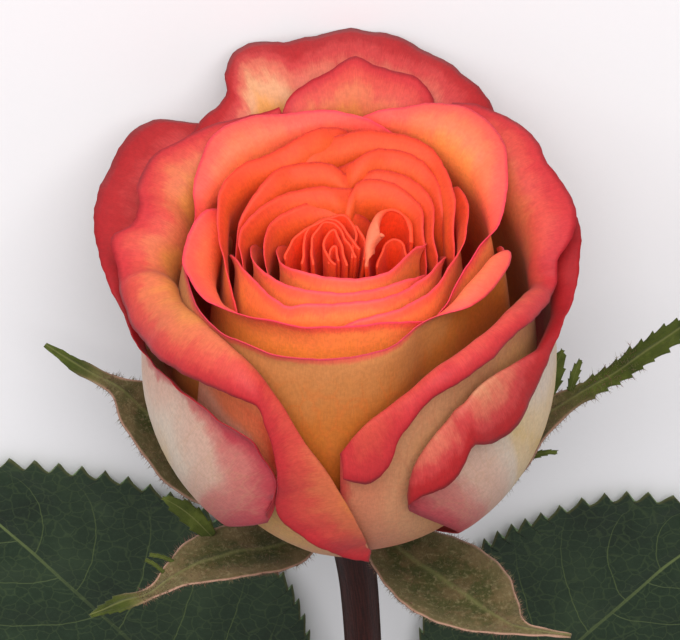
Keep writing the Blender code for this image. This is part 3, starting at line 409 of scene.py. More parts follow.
# Heart: the rims of its folded petaloids, one inside another, as (x, y, height)
HEART_CENTRE = np.array([-3.2, 0.0])
HEART_ROOT_HEIGHT = 36.0
HEART_GATHER = 0.5
HEART_SWELL = 0.06
HEART_THICKNESS = 0.7
HEART_EDGE_THICKNESS = 0.34
HEART_TAPER = 4.0
HEART_RISE_POWER = 1.5
HEART_FLUTTER = ((0.10, 1.1, 1), (0.06, 0.5, 2))
HEART_FLUTTER_FADE = 3.0
FOLD_COLUMNS = 110
FOLD_ROWS = 26
FOLD_SEED = 30
CURL_SEED = 40
HEART_FOLDS = [
    [(-9.9, -1.4, 55.2), (-9.9, -0.6, 55.4), (-9, 1.6, 56.2), (-7.6, 2.8, 56.8), (-5.9, 3.9, 57),
     (-4.3, 4.8, 57.4), (-2.5, 5.6, 57.5), (-1.1, 5.8, 57.5), (0.3, 4.4, 57.1), (0.9, 3.2, 56.5),
     (1.1, 2, 55.9)],
    [(-7.4, -2, 54.8), (-7.1, 1.9, 56.2), (-6.5, 3.2, 56.8), (-5.9, 4, 57), (-4.6, 5, 57.3),
     (-3.4, 5.2, 57.4), (-2.2, 5, 57.3), (-1.3, 4, 57), (-0.3, 2.6, 56.6), (0.6, 1.3, 56.3),
     (1.6, 0.2, 55.8)],
    [(-5.8, -2.1, 54.7), (-6, -0.4, 55.4), (-5.8, 1.9, 56.2), (-5.1, 3.3, 56.8), (-4.3, 4.5, 57.2),
     (-3.3, 4.7, 57.2), (-2.3, 4.4, 57.1), (-1.5, 3.3, 56.7), (-0.9, 2.1, 56.3), (0.1, 0.8, 55.9),
     (1, -1, 55.2)],
    [(-2.3, -2.2, 54.7), (-3.2, -1.2, 55.1), (-3.9, 0.4, 55.7), (-3.9, 1.9, 56.2), (-3.4, 2.9, 56.6),
     (-2.7, 3.4, 56.8), (-2.3, 3.3, 56.8), (-1.9, 2.4, 56.5), (-1.5, 1.1, 56), (-1, -0.6, 55.4),
     (-0.4, -2.3, 54.7)],
    [(-3.3, -1.6, 54.4), (-3.2, -0.3, 54.9), (-2.8, 0.7, 55.3), (-2.3, 1, 55.5), (-2, 0.2, 55.1),
     (-1.7, -1.2, 54.6)],
    [(0.3, -1, 55), (0.6, 1, 55.7), (0.9, 2.6, 56.4), (0.7, 3.8, 56.9), (1, 4, 57),
     (1.6, 3, 56.6), (2.2, 1.6, 56), (2.4, 0.2, 55.5), (2.2, -1.2, 54.9)],
    [(4.2, -1.6, 53.6), (4.8, 0.6, 54.4), (5.5, 2.2, 54.9), (6.7, 3, 55.1), (7.9, 2.4, 54.9),
     (8.6, 0.8, 54.5), (8.9, -0.8, 54)],
]
FOLD_CENTRES = [HEART_CENTRE] * 6 + [np.array([6.0, -0.6])]
CURLED_ROOT = np.array([4.6, 1.6])
CURLED_FOLD = [(2.5, -3, 55), (2.6, -0.6, 56), (2.7, 1.6, 56.8), (3.2, 3.4, 57.2), (4.1, 5.2, 57.5),
               (5.2, 6.4, 57.6), (6.5, 6.9, 57.6), (7.8, 6.5, 57.4), (8.9, 5.4, 57), (9.5, 3.8, 56.4),
               (9.6, 1.6, 55.6)]
CURL_ROLL = 1.35
CURL_ROLL_TURN = math.radians(165)
CURL_ROLL_STEPS = 15
CURL_ROLL_HEIGHT = 0.8
CURL_ROLL_LEAST = 0.12
CURL_ROLL_BEADS = 0.13
CURL_ROLL_BEAD_TURNS = 30.0
CURL_ROLL_FADE = (0.62, 0.38)
CURL_CREASE_PALE = 0.6
CORE_RINGS, CORE_SIDES = 30, 24
CORE_MARGIN, CORE_FAN = 20.0, 9.0
HEART_CORE = [(0, 1.6, 14.6), (0, 2, 17), (-0.5, 3.4, 21), (-1.2, 4.3, 27),
              (-1.8, 4.6, 32), (-2.2, 4.6, 37), (-2.6, 3.8, 41), (-2.8, 2.2, 43.5)]

# Stem, hip and receptacle: (x, y, height) of the axis and the radius there
STEM_LENGTH = 170.0
STEM_RADIUS = 3.1
STEM_LINE = [
    (-4, -0.3, -STEM_LENGTH, STEM_RADIUS), (-3.6, -0.3, -160, STEM_RADIUS),
    (-2, -0.4, -140, STEM_RADIUS), (0.4, -0.5, -116, 3.5), (1.4, -0.5, -104, 3.6),
    (2.4, -0.6, -92, 3.1), (2.8, -0.6, -70, 3), (2.5, -0.5, -46, 3),
    (1.6, -0.3, -25, 3.1), (0.5, -0.1, -14, 3.3), (0.2, 0, -11, 3.7),
    (0, 0, -9, 4.9), (0, 0, -6.6, 5.9), (0, 0, -4.4, 6), (0, 0, -3, 5.5),
    (0, 0, -2.2, 4.7), (0, 0, 0, 4.5), (0, 0, 6, 3.7), (0, 0, 12.5, 2.7),
    (0, 0, 14.2, 1.7)]
STEM_SIDES, STEM_RINGS = 40, 260
CUT_SLANT = 0.7
CUT_INSET = 0.9
STEM_RIDGES = ((0.012, 5), (0.008, 9))
STEM_RIDGE_TURN = 30
PRICKLES = [(-58, 60), (-81, 250), (-128, 120), (-147, 300), (-155, 40)]
PRICKLE_LENGTH = 5.0
PRICKLE_WIDTH = 1.7
PRICKLE_ROOT = 0.9
PRICKLE_SINK = 1.6
PRICKLE_POWER = 1.25
PRICKLE_TIP = 0.06
PRICKLE_TALLNESS = 1.5
PRICKLE_SIDES, PRICKLE_RINGS = 12, 14

# Sepals: rows of (azimuth, radius, height, half width). A lobe is a leaflet or filament on an edge:
# share along the sepal, side, how far it reaches right and up as seen in the photograph, half width
SEPAL_CUP = 0.10
SEPAL_THICKNESS = 0.55
SEPAL_EDGE_THICKNESS = 0.2
SEPAL_TAPER = 1.2
SEPAL_ROWS, SEPAL_COLUMNS = 110, 25
SEPAL_TEETH = 26.0
SEPAL_TOOTH_OUT, SEPAL_TOOTH_FORWARD = 0.75, 0.6
LOBE_ROWS, LOBE_COLUMNS = 40, 9
LOBE_THICKNESS, LOBE_MARGIN = 0.3, 2.0
LOBE_TEETH = 4.0
LOBE_TOOTH_OUT, LOBE_TOOTH_FORWARD = 0.45, 0.3
LOBE_ROOT_INSIDE = 0.25
LOBE_ARCH = 0.12
LOBE_CUP = 0.12
SEPALS = [
    dict(name="sepal_left", lobes=[], roll=10, leafy=0.80, toothed=0.15, line=[
        (-106, 6.15, -3.4, 3), (-106, 13, -5.2, 5.2), (-107, 20, -5, 6.2), (-107.5, 27, -1.6, 6.9),
        (-108, 31.5, 3.2, 6.5), (-108.5, 36.5, 7.8, 4.6), (-109, 40, 10.4, 1.7),
        (-110, 46, 11.6, 1.3), (-112, 53, 12.7, 0.4)]),
    dict(name="sepal_front_left", roll=-6, leafy=0.78, toothed=0.6, lobes=[
        (0.42, 1, -7.2, 5.2, 1.5), (0.60, 1, -3.4, 0.6, 0.25), (0.66, 1, -2.6, 1.6, 0.22)], line=[
        (-50, 6.3, -3.6, 3), (-54, 13, -5, 5.6), (-59, 20.8, -3.4, 6.4), (-60, 27, -2.6, 5.4),
        (-60, 32, -2.8, 3), (-60, 36.5, -4.4, 1.3), (-60, 41.6, -3.8, 1.7), (-60, 47.6, -3.4, 0.4)]),
    dict(name="sepal_front_right", lobes=[], roll=4, leafy=1, toothed=0, line=[
        (40, 6.3, -3.6, 3.4), (43, 12.5, -5.2, 6.6), (45, 20, -5.4, 8.8), (45, 27, -5, 8.2),
        (45, 33, -4.6, 5), (46, 38, -3.6, 1.6), (51, 45, -3, 0.4)]),
    dict(name="sepal_right", roll=-8, leafy=0.58, toothed=1.2, lobes=[
        (0.53, -1, 3.2, 7.8, 1.5), (0.60, -1, 1.8, 4.6, 0.65), (0.41, 1, 4.6, 2.2, 0.45)], line=[
        (104, 6.15, -3.4, 3), (104, 13, -5, 5.4), (104, 21, -3.2, 6.4), (104, 27, 2.6, 5.6),
        (104, 31, 7.6, 3.8), (104, 35, 10.6, 2.4), (104, 40, 13.6, 1.5), (104, 45, 16.7, 1.8),
        (104, 53, 22.7, 1.8), (104, 58, 26, 0.4)]),
    dict(name="sepal_back", roll=0, leafy=0.75, toothed=0.4, lobes=[(0.6, 1, 2.6, -2, 0.6)], line=[
        (178, 6.1, -3.6, 3), (178, 12, -6.6, 5.2), (178, 17, -11, 6), (178, 21, -17, 5),
        (178, 23, -23, 3), (178, 24, -29, 1.3), (178, 23.5, -36, 0.4)]),
]
SEPAL_HAIRS = 1500
SEPAL_EDGE_HAIRS = 420
HAIR_SEED = 50
HAIR_ZONE = (0.02, 0.8)
HAIR_LENGTH, EDGE_HAIR_LENGTH = (0.5, 1.0), (0.5, 1.3)
HAIR_WIDTH, EDGE_HAIR_WIDTH = 0.035, 0.045
HAIR_LIFT, EDGE_HAIR_LIFT = 0.55, 0.2
HAIR_STRAY, EDGE_HAIR_STRAY = 0.9, 0.55
HAIR_ROOT_LIFT = 0.2
HAIR_CORNERS = (0.0, 2.1, 4.2)

# Leaves on the table: rows of (x, y, height, half width) and the petiole's (x, y, height, radius)
LEAF_THICKNESS = 0.45
LEAF_EDGE_THICKNESS = 0.22
LEAF_TAPER = 2.0
PETIOLE_SIDES, PETIOLE_RINGS = 16, 40
PETIOLE_MARGIN, BETWEEN_VEINS = 5.0, 0.5
LEAVES = [
    dict(name="leaf_left", line=[
        (15, 85, 5, 1.2), (18, 81.5, 3.6, 12), (22.5, 76, 2.2, 21.5),
        (31, 66, 0.9, 28.5), (38.5, 57, 0.3, 30), (46.5, 47.5, 0.3, 28.2),
        (53.5, 39, 0.3, 23.2), (60, 31.5, 0.5, 16), (65.5, 25, 1, 8.5),
        (69.5, 20, 1.8, 0.5)],
        petiole=[(5, 112, 13.4, 1.7), (6.8, 107.5, 12.4, 1.3), (10, 97, 8.8, 1.1),
                 (14.3, 87, 5.6, 1.1), (21, 78, 2.7, 0.9)]),
    dict(name="leaf_right", line=[
        (-17, 83.5, 5, 1.2), (-20, 80, 3.6, 10.5), (-25, 74.5, 2.2, 18.5),
        (-33, 65.5, 0.9, 25.5), (-40, 57.5, 0.3, 27), (-47, 49.5, 0.3, 25),
        (-53, 42.5, 0.3, 20.5), (-58.5, 37, 0.5, 14), (-62, 33.5, 1, 8),
        (-65.5, 30, 1.8, 0.5)],
        petiole=[(-7.3, 99.5, 15.2, 1.7), (-8.6, 95.5, 13.4, 1.3), (-12, 90, 9.4, 1.1),
                 (-16.2, 85, 5.6, 1.1), (-23, 77, 2.8, 0.9)]),
]
LEAF_TEETH = 27
LEAF_TOOTH_OUT = 1.75
LEAF_TOOTH_FORWARD = 1.5
LEAF_TOOTH_TIP = 0.72
LEAF_CUP = 0.123
LEAF_CUP_START = 0.25
LEAF_QUILT = 0.42
LEAF_GROOVE_STEEPNESS, LEAF_GROOVE_DEPTH, LEAF_LEVEL = 9, 0.5, -0.3
LEAF_VEINS = 8.0
LEAF_VEIN_LEAN = 2.0
LEAF_ROWS_PER_TOOTH = 10
LEAF_COLUMNS = 90


def grid_normals(grid):
    normals = np.cross(np.gradient(grid, axis=0), np.gradient(grid, axis=1))
    return normals / np.maximum(np.linalg.norm(normals, axis=2, keepdims=True), 1e-9)


def place_points(points, matrix):
    return points.reshape(-1, 3) @ matrix[:3, :3].T + matrix[:3, 3]


def sheet(grid, thickness, values, outer_is_plus, matrix, floor=None):
    """A closed blade round a grid of points, as points, quads and values, with face 1 outside."""
    offset = grid_normals(grid) * thickness[..., None] / 2
    columns, rows = grid.shape[:2]
    points = np.concatenate([place_points(grid + offset, matrix), place_points(grid - offset, matrix)])
    if floor is not None:
        points[:, 2] = np.maximum(points[:, 2], floor)
    other = columns * rows
    index = np.arange(other).reshape(columns, rows)
    quads = np.stack([index[:-1, :-1], index[1:, :-1], index[1:, 1:], index[:-1, 1:]], -1).reshape(-1, 4)
    loop = np.concatenate([index[:, 0], index[-1, 1:], index[-2::-1, -1], index[0, -2:0:-1]])
    after = np.roll(loop, -1)
    edge = np.stack([after, loop, loop + other, after + other], -1)
    faces = np.concatenate([quads, quads[:, ::-1] + other, edge])
    face = np.ones(2 * other)
    face[other if outer_is_plus else 0:None if outer_is_plus else other] = 0.0
    doubled = {key: np.tile(np.asarray(numbers).ravel(), 2) for key, numbers in values.items()}
    return points, faces, dict(doubled, face=face)


def joined(parts):
    """Several (points, faces, values) in one."""
    points, faces, values, start = [], [], {}, 0
    keys = parts[0][2].keys()
    for part in parts:
        points.append(part[0])
        faces += [[int(i) + start for i in face] for face in part[1]]
        start += len(part[0])
    for key in keys:
        values[key] = np.concatenate([np.asarray(part[2][key]).ravel() for part in parts])
    return np.concatenate(points), faces, values


def outward(name, part):
    """A smooth mesh whose faces point out of the solid, with a number per point for each value."""
    points, faces, values = part
    mesh = bpy.data.meshes.new(name)
    mesh.from_pydata(points.tolist(), [], [list(map(int, face)) for face in faces])
    for key, numbers in values.items():
        layer = mesh.attributes.new(key, "FLOAT", "POINT")
        layer.data.foreach_set("value", np.asarray(numbers, np.float32).ravel())
    mesh.update()
    mesh.shade_smooth()
    mesh.calc_loop_triangles()
    corners = np.zeros(len(mesh.loop_triangles) * 3, np.int32)
    mesh.loop_triangles.foreach_get("vertices", corners)
    a, b, c = (points[corners.reshape(-1, 3)[:, k]] for k in range(3))
    if np.einsum("ij,ij->i", a, np.cross(b, c)).sum() < 0:
        mesh.flip_normals()
    return mesh


def add_object(name, data):
    item = bpy.data.objects.new(name, data)
    bpy.context.scene.collection.objects.link(item)
    return item


def add_piece(name, part, surface, slot, *nodes):
    mesh = outward(name, part)
    piece = add_object(name, mesh)
    mesh.materials.append(surface)
    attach(piece, BODY)
    if nodes:
        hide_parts(*nodes)


def tucked(petal):
    """The petal with both ends of its rim drawn on behind their neighbours, out by its tuck."""
    if petal.get("look", "inner") not in TUCKED_LOOKS:
        return petal
    rim = list(petal["rim"])
    tuck = petal.get("tuck", (0.0, 0.0))
    for end, step in ((0, 1), (-1, -1)):
        azimuth, radius, height = rim[end][:3]
        way = math.copysign(1.0, azimuth - rim[end + step][0])
        turn = math.degrees(TUCK_LENGTH / radius) * way
        extra = (azimuth + turn, radius + tuck[end], height)
        rim = [extra] + rim if end == 0 else rim + [extra]
    return dict(petal, rim=rim)


def petal_part(petal, seed):
    """A petal as a fine fluttered blade, with where each point lies on it."""
    rim_rows = RIM_ROWS if "layer" in petal else INNER_RIM_ROWS
    rough_rim = smooth_path([row[:3] for row in full_rim(petal)], ROUGH_ROWS)
    columns = int(path_length(np.array([around(*row) for row in rough_rim]))[-1] / COLUMN_PITCH)
    across = np.linspace(0, 1, columns)
    rim = smooth_path(full_rim(petal), columns)
    if petal.get("look", "inner") in TUCKED_LOOKS:
        run = path_length(np.array([around(*row[:3]) for row in rim]))
        near = np.clip(1 - np.minimum(run, run[-1] - run) / TUCK_TAPER, 0, 1)
        rim[:, 2] -= TUCK_DROP * near ** 2
        rim[:, 4] -= TUCK_DROP * near ** 2
    claw = (rim[0, 3] + rim[-1, 3]) / 2
    order = np.argsort(rim[:, 3])

    def layer_at(bearing):
        return float(np.interp(bearing, rim[order, 3], rim[order, 5]))

    powers = evenly(petal["narrow"], across) if "narrow" in petal else [None] * columns
    grid = np.array([petal_column(row, claw, power, layer_at, rim_rows) for row, power in zip(rim, powers)])
    up = grid_length(grid, 1)
    from_rim = up[:, -1:] - up
    side = grid_length(grid, 0)
    from_side = np.minimum(side, side[-1:] - side)
    margin = np.minimum(from_rim, from_side + SIDE_MARGIN)
    run = path_length(grid[:, -1])[:, None]

    wave, nick = (sum(share * np.sin(run / length + seed * phase) for share, length, phase in waves)
                  for waves in (FLUTTER, NICKS))
    reach = petal.get("flutter", 0.3)
    grid = grid + grid_normals(grid) * (wave * reach * np.exp(-from_rim / FLUTTER_FADE))[..., None]
    edge = grid[:, -1:] - grid[:, -4:-3]
    edge /= np.maximum(np.linalg.norm(edge, axis=2, keepdims=True), 1e-6)
    grid = grid + edge * (nick * NICK_SHARE * reach * np.exp(-from_rim / NICK_FADE))[..., None]

    def by_column(numbers):
        return np.repeat(numbers.reshape(-1, 1), grid.shape[1], axis=1)

    flush = petal.get("flush", (1.0, 1.0))
    middle = grid[columns // 2, BODY_ROWS // 2]
    normal = grid_normals(grid)[columns // 2, BODY_ROWS // 2]
    outer_is_plus = bool(normal[0] * middle[0] + normal[1] * middle[1] > 0)
    thickness = thickened(margin, PETAL_EDGE_THICKNESS, PETAL_THICKNESS, PETAL_TAPER)
    values = {
        "margin": margin,
        "flush": by_column(evenly(flush, across)),
        "backflush_and_shade": by_column(evenly(petal.get("backflush_and_shade", flush), across)),
        "blush": blush_distance(petal, grid),
        "fan": by_column(run / run[-1] * columns * FAN_PER_COLUMN + seed * FAN_PER_PETAL),
        "length": up,
    }
    return sheet(grid, thickness, values, outer_is_plus, LYING)


def blush_distance(petal, grid):
    """How far each point of a petal lies from the margin of the petal that stains it."""
    if "blush" not in petal:
        return np.full(grid.shape[:2], BLUSH_REACH)
    name, first, last = petal["blush"]
    other = next(p for p in PETALS if p["name"] == name)
    path = smooth_path([around(*row[:3]) for row in other["rim"][first:last]], STAIN_ROWS)
    gaps = np.linalg.norm(grid[:, :, None] - path[None, None], axis=3)
    return np.minimum(gaps.min(axis=2), BLUSH_REACH)


def fold_part(rim, centre, seed, roll=0.0):
    """A curtain of folded petal: it hangs from its rim and gathers toward a centre in the core.

    With a roll, the edge of its first half turns over inward in a soft pale lip.
    """
    columns, rows = FOLD_COLUMNS, FOLD_ROWS
    top = smooth_path(rim, columns)
    root = top.copy()
    root[:, :2] = centre + (top[:, :2] - centre) * HEART_GATHER
    root[:, 2] = HEART_ROOT_HEIGHT
    share = (1 - (1 - np.linspace(0.0, 1.0, rows)) ** HEART_RISE_POWER)[None, :, None]
    grid = root[:, None] + (top[:, None] - root[:, None]) * share
    grid[..., :2] += (grid[..., :2] - centre) * np.sin(share * math.pi) * HEART_SWELL
    run = path_length(top)[:, None]
    pale = np.zeros(grid.shape[:2])
    if roll:
        along = np.linspace(0.0, 1.0, columns)
        fade = smooth_step(along, *CURL_ROLL_FADE)
        beads = 1 - CURL_ROLL_BEADS + CURL_ROLL_BEADS * np.cos(along * CURL_ROLL_BEAD_TURNS)
        size = roll * (CURL_ROLL_LEAST + (1 - CURL_ROLL_LEAST) * fade * beads)
        inward = np.stack([centre[0] - top[:, 0], centre[1] - top[:, 1], 0 * top[:, 0]], axis=1)
        inward /= np.linalg.norm(inward, axis=1, keepdims=True)
        turns = np.linspace(0.0, CURL_ROLL_TURN, CURL_ROLL_STEPS)[1:]
        rise = np.array([0.0, 0.0, CURL_ROLL_HEIGHT])
        lip = [top[:, :3] + size[:, None] * ((1 - math.cos(t)) * inward + math.sin(t) * rise) for t in turns]
        grid = np.concatenate([grid, np.stack(lip, axis=1)], axis=1)
        pale = np.concatenate([pale, np.repeat(fade[:, None], len(turns), axis=1)], axis=1)
        pale[:, rows - 2] = fade * CURL_CREASE_PALE
    up = grid_length(grid, 1)
    from_rim = up[:, -1:] - up
    wave = sum(share * np.sin(run / length + seed * phase) for share, length, phase in HEART_FLUTTER)
    grid = grid + grid_normals(grid) * (wave * np.exp(-from_rim / HEART_FLUTTER_FADE))[..., None]
    middle = grid[columns // 2, rows // 2, :2] - centre
    normal = grid_normals(grid)[columns // 2, rows // 2, :2]
    thickness = thickened(from_rim, HEART_EDGE_THICKNESS, HEART_THICKNESS, HEART_TAPER)
    shape = grid.shape[:2]
    values = {
        "margin": from_rim,
        "flush": np.ones(shape),
        "backflush_and_shade": np.ones(shape),
        "blush": np.full(shape, BLUSH_REACH),
        "pale": pale,
        "fan": np.repeat(run * FAN_PER_COLUMN + seed * FAN_PER_PETAL, shape[1], axis=1),
        "length": up,
    }
    return sheet(grid, thickness, values, bool(normal @ middle > 0), LYING)


def tube_part(line, sides):
    """A closed tube round a path of (x, y, z, radius) rows."""
    line = np.asarray(line, float)
    rings = []
    angles = np.arange(sides) * 2 * math.pi / sides
    for i, row in enumerate(line):
        ahead = unit(line[min(i + 1, len(line) - 1)][:3] - line[max(i - 1, 0)][:3])
        side = unit(np.cross(ahead, (0.0, 1.0, 0.0) if abs(ahead[1]) < 0.9 else (1.0, 0.0, 0.0)))
        up = np.cross(side, ahead)
        rings.append(row[:3] + row[3] * (np.cos(angles)[:, None] * side + np.sin(angles)[:, None] * up))
    return np.array(rings), ring_faces(len(rings), sides)


def ring_faces(count, sides):
    faces = []
    for i in range(count - 1):
        for k in range(sides):
            n = (k + 1) % sides
            faces.append([i * sides + k, i * sides + n, (i + 1) * sides + n, (i + 1) * sides + k])
    faces.append(list(range(sides))[::-1])
    faces.append([(count - 1) * sides + k for k in range(sides)])
    return faces


def blade_grid(line, across, teeth, cup, quilt, rows, columns):
    """A leaf blade's middle surface: rows along the midrib, columns from edge to edge."""
    path = smooth_path(line, rows)
    grid = np.zeros((columns, rows, 3))
    place = np.linspace(-1.0, 1.0, columns)
    for j in range(rows):
        ahead = unit(path[min(j + 1, rows - 1)][:3] - path[max(j - 1, 0)][:3])
        side = unit(across(ahead))
        up = np.cross(side, ahead)
        half = max(path[j][3], LEAST_HALF_WIDTH)
        out, forward = teeth(j / (rows - 1), np.sign(place))
        edge = np.abs(place) ** 8
        sideways = place * half + np.sign(place) * out * edge
        lift = cup(np.abs(place), half) + quilt(j / (rows - 1), place)
        grid[:, j] = (path[j][:3] + side * sideways[:, None] + up * lift[:, None]
                      + ahead * (forward * edge)[:, None])
    return grid, path, place


def sepal_parts(sepal, seed):
    """A sepal and its side lobes, and the grid of points that its hairs grow from."""
    line = [(*around(a, r, z), w) for a, r, z, w in sepal["line"]]
    roll = math.radians(sepal["roll"])
    rows, columns = SEPAL_ROWS, SEPAL_COLUMNS

    def across(ahead):
        level = unit(np.cross(ahead, (0.0, 0.0, 1.0)))
        return level * math.cos(roll) + np.cross(level, ahead) * math.sin(roll)

    def teeth(share, side):
        leafy = sepal["toothed"] * smooth_step(share, sepal["leafy"], sepal["leafy"] + 0.1) * (share < 0.96)
        phase = (share * SEPAL_TEETH + 0.3 * side) % 1.0
        out = SEPAL_TOOTH_OUT * leafy * phase ** 2 + 0.08 * np.sin(share * 60 + side)
        return out, SEPAL_TOOTH_FORWARD * leafy * phase

    def cup(place, half):
        return SEPAL_CUP * half * place ** 2

    def quilt(share, place):
        return 0.10 * np.sin(share * 37 + seed) * np.cos(place * 5) + 0.22 * np.exp(-(place * 7) ** 2)

    grid, path, place = blade_grid(line, across, teeth, cup, quilt, rows, columns)
    margin = (1 - np.abs(place))[:, None] * np.maximum(path[:, 3], LEAST_HALF_WIDTH)[None, :]
    share = np.repeat(np.linspace(0, 1, rows)[None], columns, axis=0)
    thickness = thickened(margin, SEPAL_EDGE_THICKNESS, SEPAL_THICKNESS, SEPAL_TAPER)
    leafy = smooth_step(share, sepal["leafy"] - 0.08, sepal["leafy"] + 0.1)
    values = {"margin": margin, "leafy": leafy, "place": np.repeat(place[:, None], rows, axis=1)}
    top = grid_normals(grid)[columns // 2, rows // 3]
    blade = sheet(grid, thickness, values, top[2] < 0, LYING)
    return [blade] + [lobe_part(grid, *lobe) for lobe in sepal["lobes"]], grid


def lobe_part(grid, share, side, right, up, half):
    """A small toothed leaflet or filament from a sepal's edge."""
    root = grid[-1 if side > 0 else 0, int(share * (grid.shape[1] - 1))]
    inside = grid[grid.shape[0] // 2, int(share * (grid.shape[1] - 1))]
    reach = np.array([right, up * math.sin(VIEW_ELEVATION), up * math.cos(VIEW_ELEVATION)])
    start = root + (inside - root) * LOBE_ROOT_INSIDE
    end = root + reach
    bend = np.array([0.0, 0.0, LOBE_ARCH * np.linalg.norm(reach)])
    rows, columns = LOBE_ROWS, LOBE_COLUMNS
    shares = np.linspace(0, 1, rows)
    line = [(*(start + (end - start) * s + bend * math.sin(s * math.pi)),
             half * max(0.15, math.sin(math.pi * min(1.0, s * 0.82 + 0.18)) ** 0.8)) for s in shares]

    def teeth(s, side):
        phase = (s * LOBE_TEETH + 0.25 * side) % 1.0
        return LOBE_TOOTH_OUT * min(half, 1.0) * phase ** 2 * (s < 0.9), LOBE_TOOTH_FORWARD * phase

    blade, _, place = blade_grid(line, lambda ahead: np.cross(ahead, VIEW_AWAY), teeth,
                                 lambda p, h: LOBE_CUP * h * p ** 2, lambda s, p: 0.0 * p, rows, columns)
    shape = blade.shape[:2]
    values = {"margin": np.full(shape, LOBE_MARGIN), "leafy": np.ones(shape),
              "place": np.repeat(place[:, None], rows, axis=1)}
    return sheet(blade, np.full(shape, LOBE_THICKNESS), values, False, LYING)


def hair_part(grid, seed):
    """Short felted hairs over a sepal and glandular ones along its edges, as thin needles."""
    rng = np.random.default_rng(seed)
    columns, rows = grid.shape[:2]
    normals = grid_normals(grid)
    points, faces = [], []
    for k in range(SEPAL_HAIRS + SEPAL_EDGE_HAIRS):
        on_edge = k >= SEPAL_HAIRS
        j = int(rng.uniform(*HAIR_ZONE) * (rows - 1))
        i = (0 if rng.uniform() < 0.5 else columns - 1) if on_edge else int(rng.integers(1, columns - 1))
        root = grid[i, j]
        out = grid[i, j] - grid[columns // 2, j]
        out = out / max(np.linalg.norm(out), 1e-6)
        facing = normals[i, j] * (1 if rng.uniform() < 0.5 else -1)
        jitter = rng.normal(0, 1, 3)
        if on_edge:
            way = out + EDGE_HAIR_STRAY * jitter + EDGE_HAIR_LIFT * facing
            length = rng.uniform(*EDGE_HAIR_LENGTH)
        else:
            way = HAIR_LIFT * facing + HAIR_STRAY * jitter
            way -= facing * min(0.0, float(way @ facing))
            length = rng.uniform(*HAIR_LENGTH)
        way = unit(way)
        side = unit(np.cross(way, normals[i, j] + 0.01))
        other = np.cross(way, side)
        base = root + facing * (0.0 if on_edge else HAIR_ROOT_LIFT)
        width = EDGE_HAIR_WIDTH if on_edge else HAIR_WIDTH
        start = len(points)
        for angle in HAIR_CORNERS:
            points.append(base + width * (math.cos(angle) * side + math.sin(angle) * other))
        points.append(base + way * length)
        faces += [[start, start + 1, start + 3], [start + 1, start + 2, start + 3],
                  [start + 2, start, start + 3], [start + 2, start + 1, start]]
    return place_points(np.array(points), LYING), faces, {}


def leaf_parts(leaf):
    """A serrated, quilted leaf blade and its petiole."""
    rows = LEAF_TEETH * LEAF_ROWS_PER_TOOTH + 1

    def teeth(share, side):
        size = float(smooth_step(share, 0.0, 0.14) * (1 - 0.8 * smooth_step(share, 0.90, 1.0)))
        phase = (share * LEAF_TEETH + 0.23 * (side > 0)) % 1.0
        rise = np.where(phase < LEAF_TOOTH_TIP, (phase / LEAF_TOOTH_TIP) ** 1.5,
                        ((1 - phase) / (1 - LEAF_TOOTH_TIP)) ** 1.2)
        small = 0.10 * np.sin(share * 190 + side)
        return (LEAF_TOOTH_OUT * rise + small) * size, LEAF_TOOTH_FORWARD * rise * size

    def cup(place, half):
        return LEAF_CUP * np.maximum(0.0, place - LEAF_CUP_START) ** 2 * half

    def vein_phase(share, place):
        return LEAF_VEINS * share - LEAF_VEIN_LEAN * np.abs(place) ** 1.25 + 0.4 * (place > 0)

    def quilt(share, place):
        cell = np.sin(math.pi * vein_phase(share, place)) ** 2
        spread = np.sin(math.pi * np.clip(np.abs(place), 0, 1)) ** 0.6
        groove = LEAF_GROOVE_DEPTH * np.minimum(1.0, np.abs(place) * LEAF_GROOVE_STEEPNESS)
        return LEAF_QUILT * cell * spread + groove + LEAF_LEVEL

    def across(ahead):
        return np.cross(ahead, (0.0, 0.0, 1.0))

    grid, path, place = blade_grid(leaf["line"], across, teeth, cup, quilt, rows, LEAF_COLUMNS)
    share = np.repeat(np.linspace(0, 1, rows)[None], LEAF_COLUMNS, axis=0)
    places = np.repeat(place[:, None], rows, axis=1)
    half = np.maximum(path[:, 3], LEAST_HALF_WIDTH)[None, :]
    values = {"margin": (1 - np.abs(places)) * half, "rib": np.abs(places) * half,
              "vein": vein_phase(share, places), "place": np.abs(places)}
    thickness = thickened(values["margin"], LEAF_EDGE_THICKNESS, LEAF_THICKNESS, LEAF_TAPER)
    top = grid_normals(grid)[LEAF_COLUMNS // 2, rows // 2]
    blade = sheet(grid, thickness, values, top[2] < 0, TABLE, floor=0.0)
    stalk = smooth_path(leaf["petiole"], PETIOLE_RINGS)
    points, faces = tube_part(stalk, PETIOLE_SIDES)
    count = len(points) * PETIOLE_SIDES
    stalk_values = {"margin": np.full(count, PETIOLE_MARGIN), "rib": np.zeros(count),
                    "vein": np.full(count, BETWEEN_VEINS), "place": np.zeros(count), "face": np.zeros(count)}
    return [blade, (place_points(points, TABLE), faces, stalk_values)]


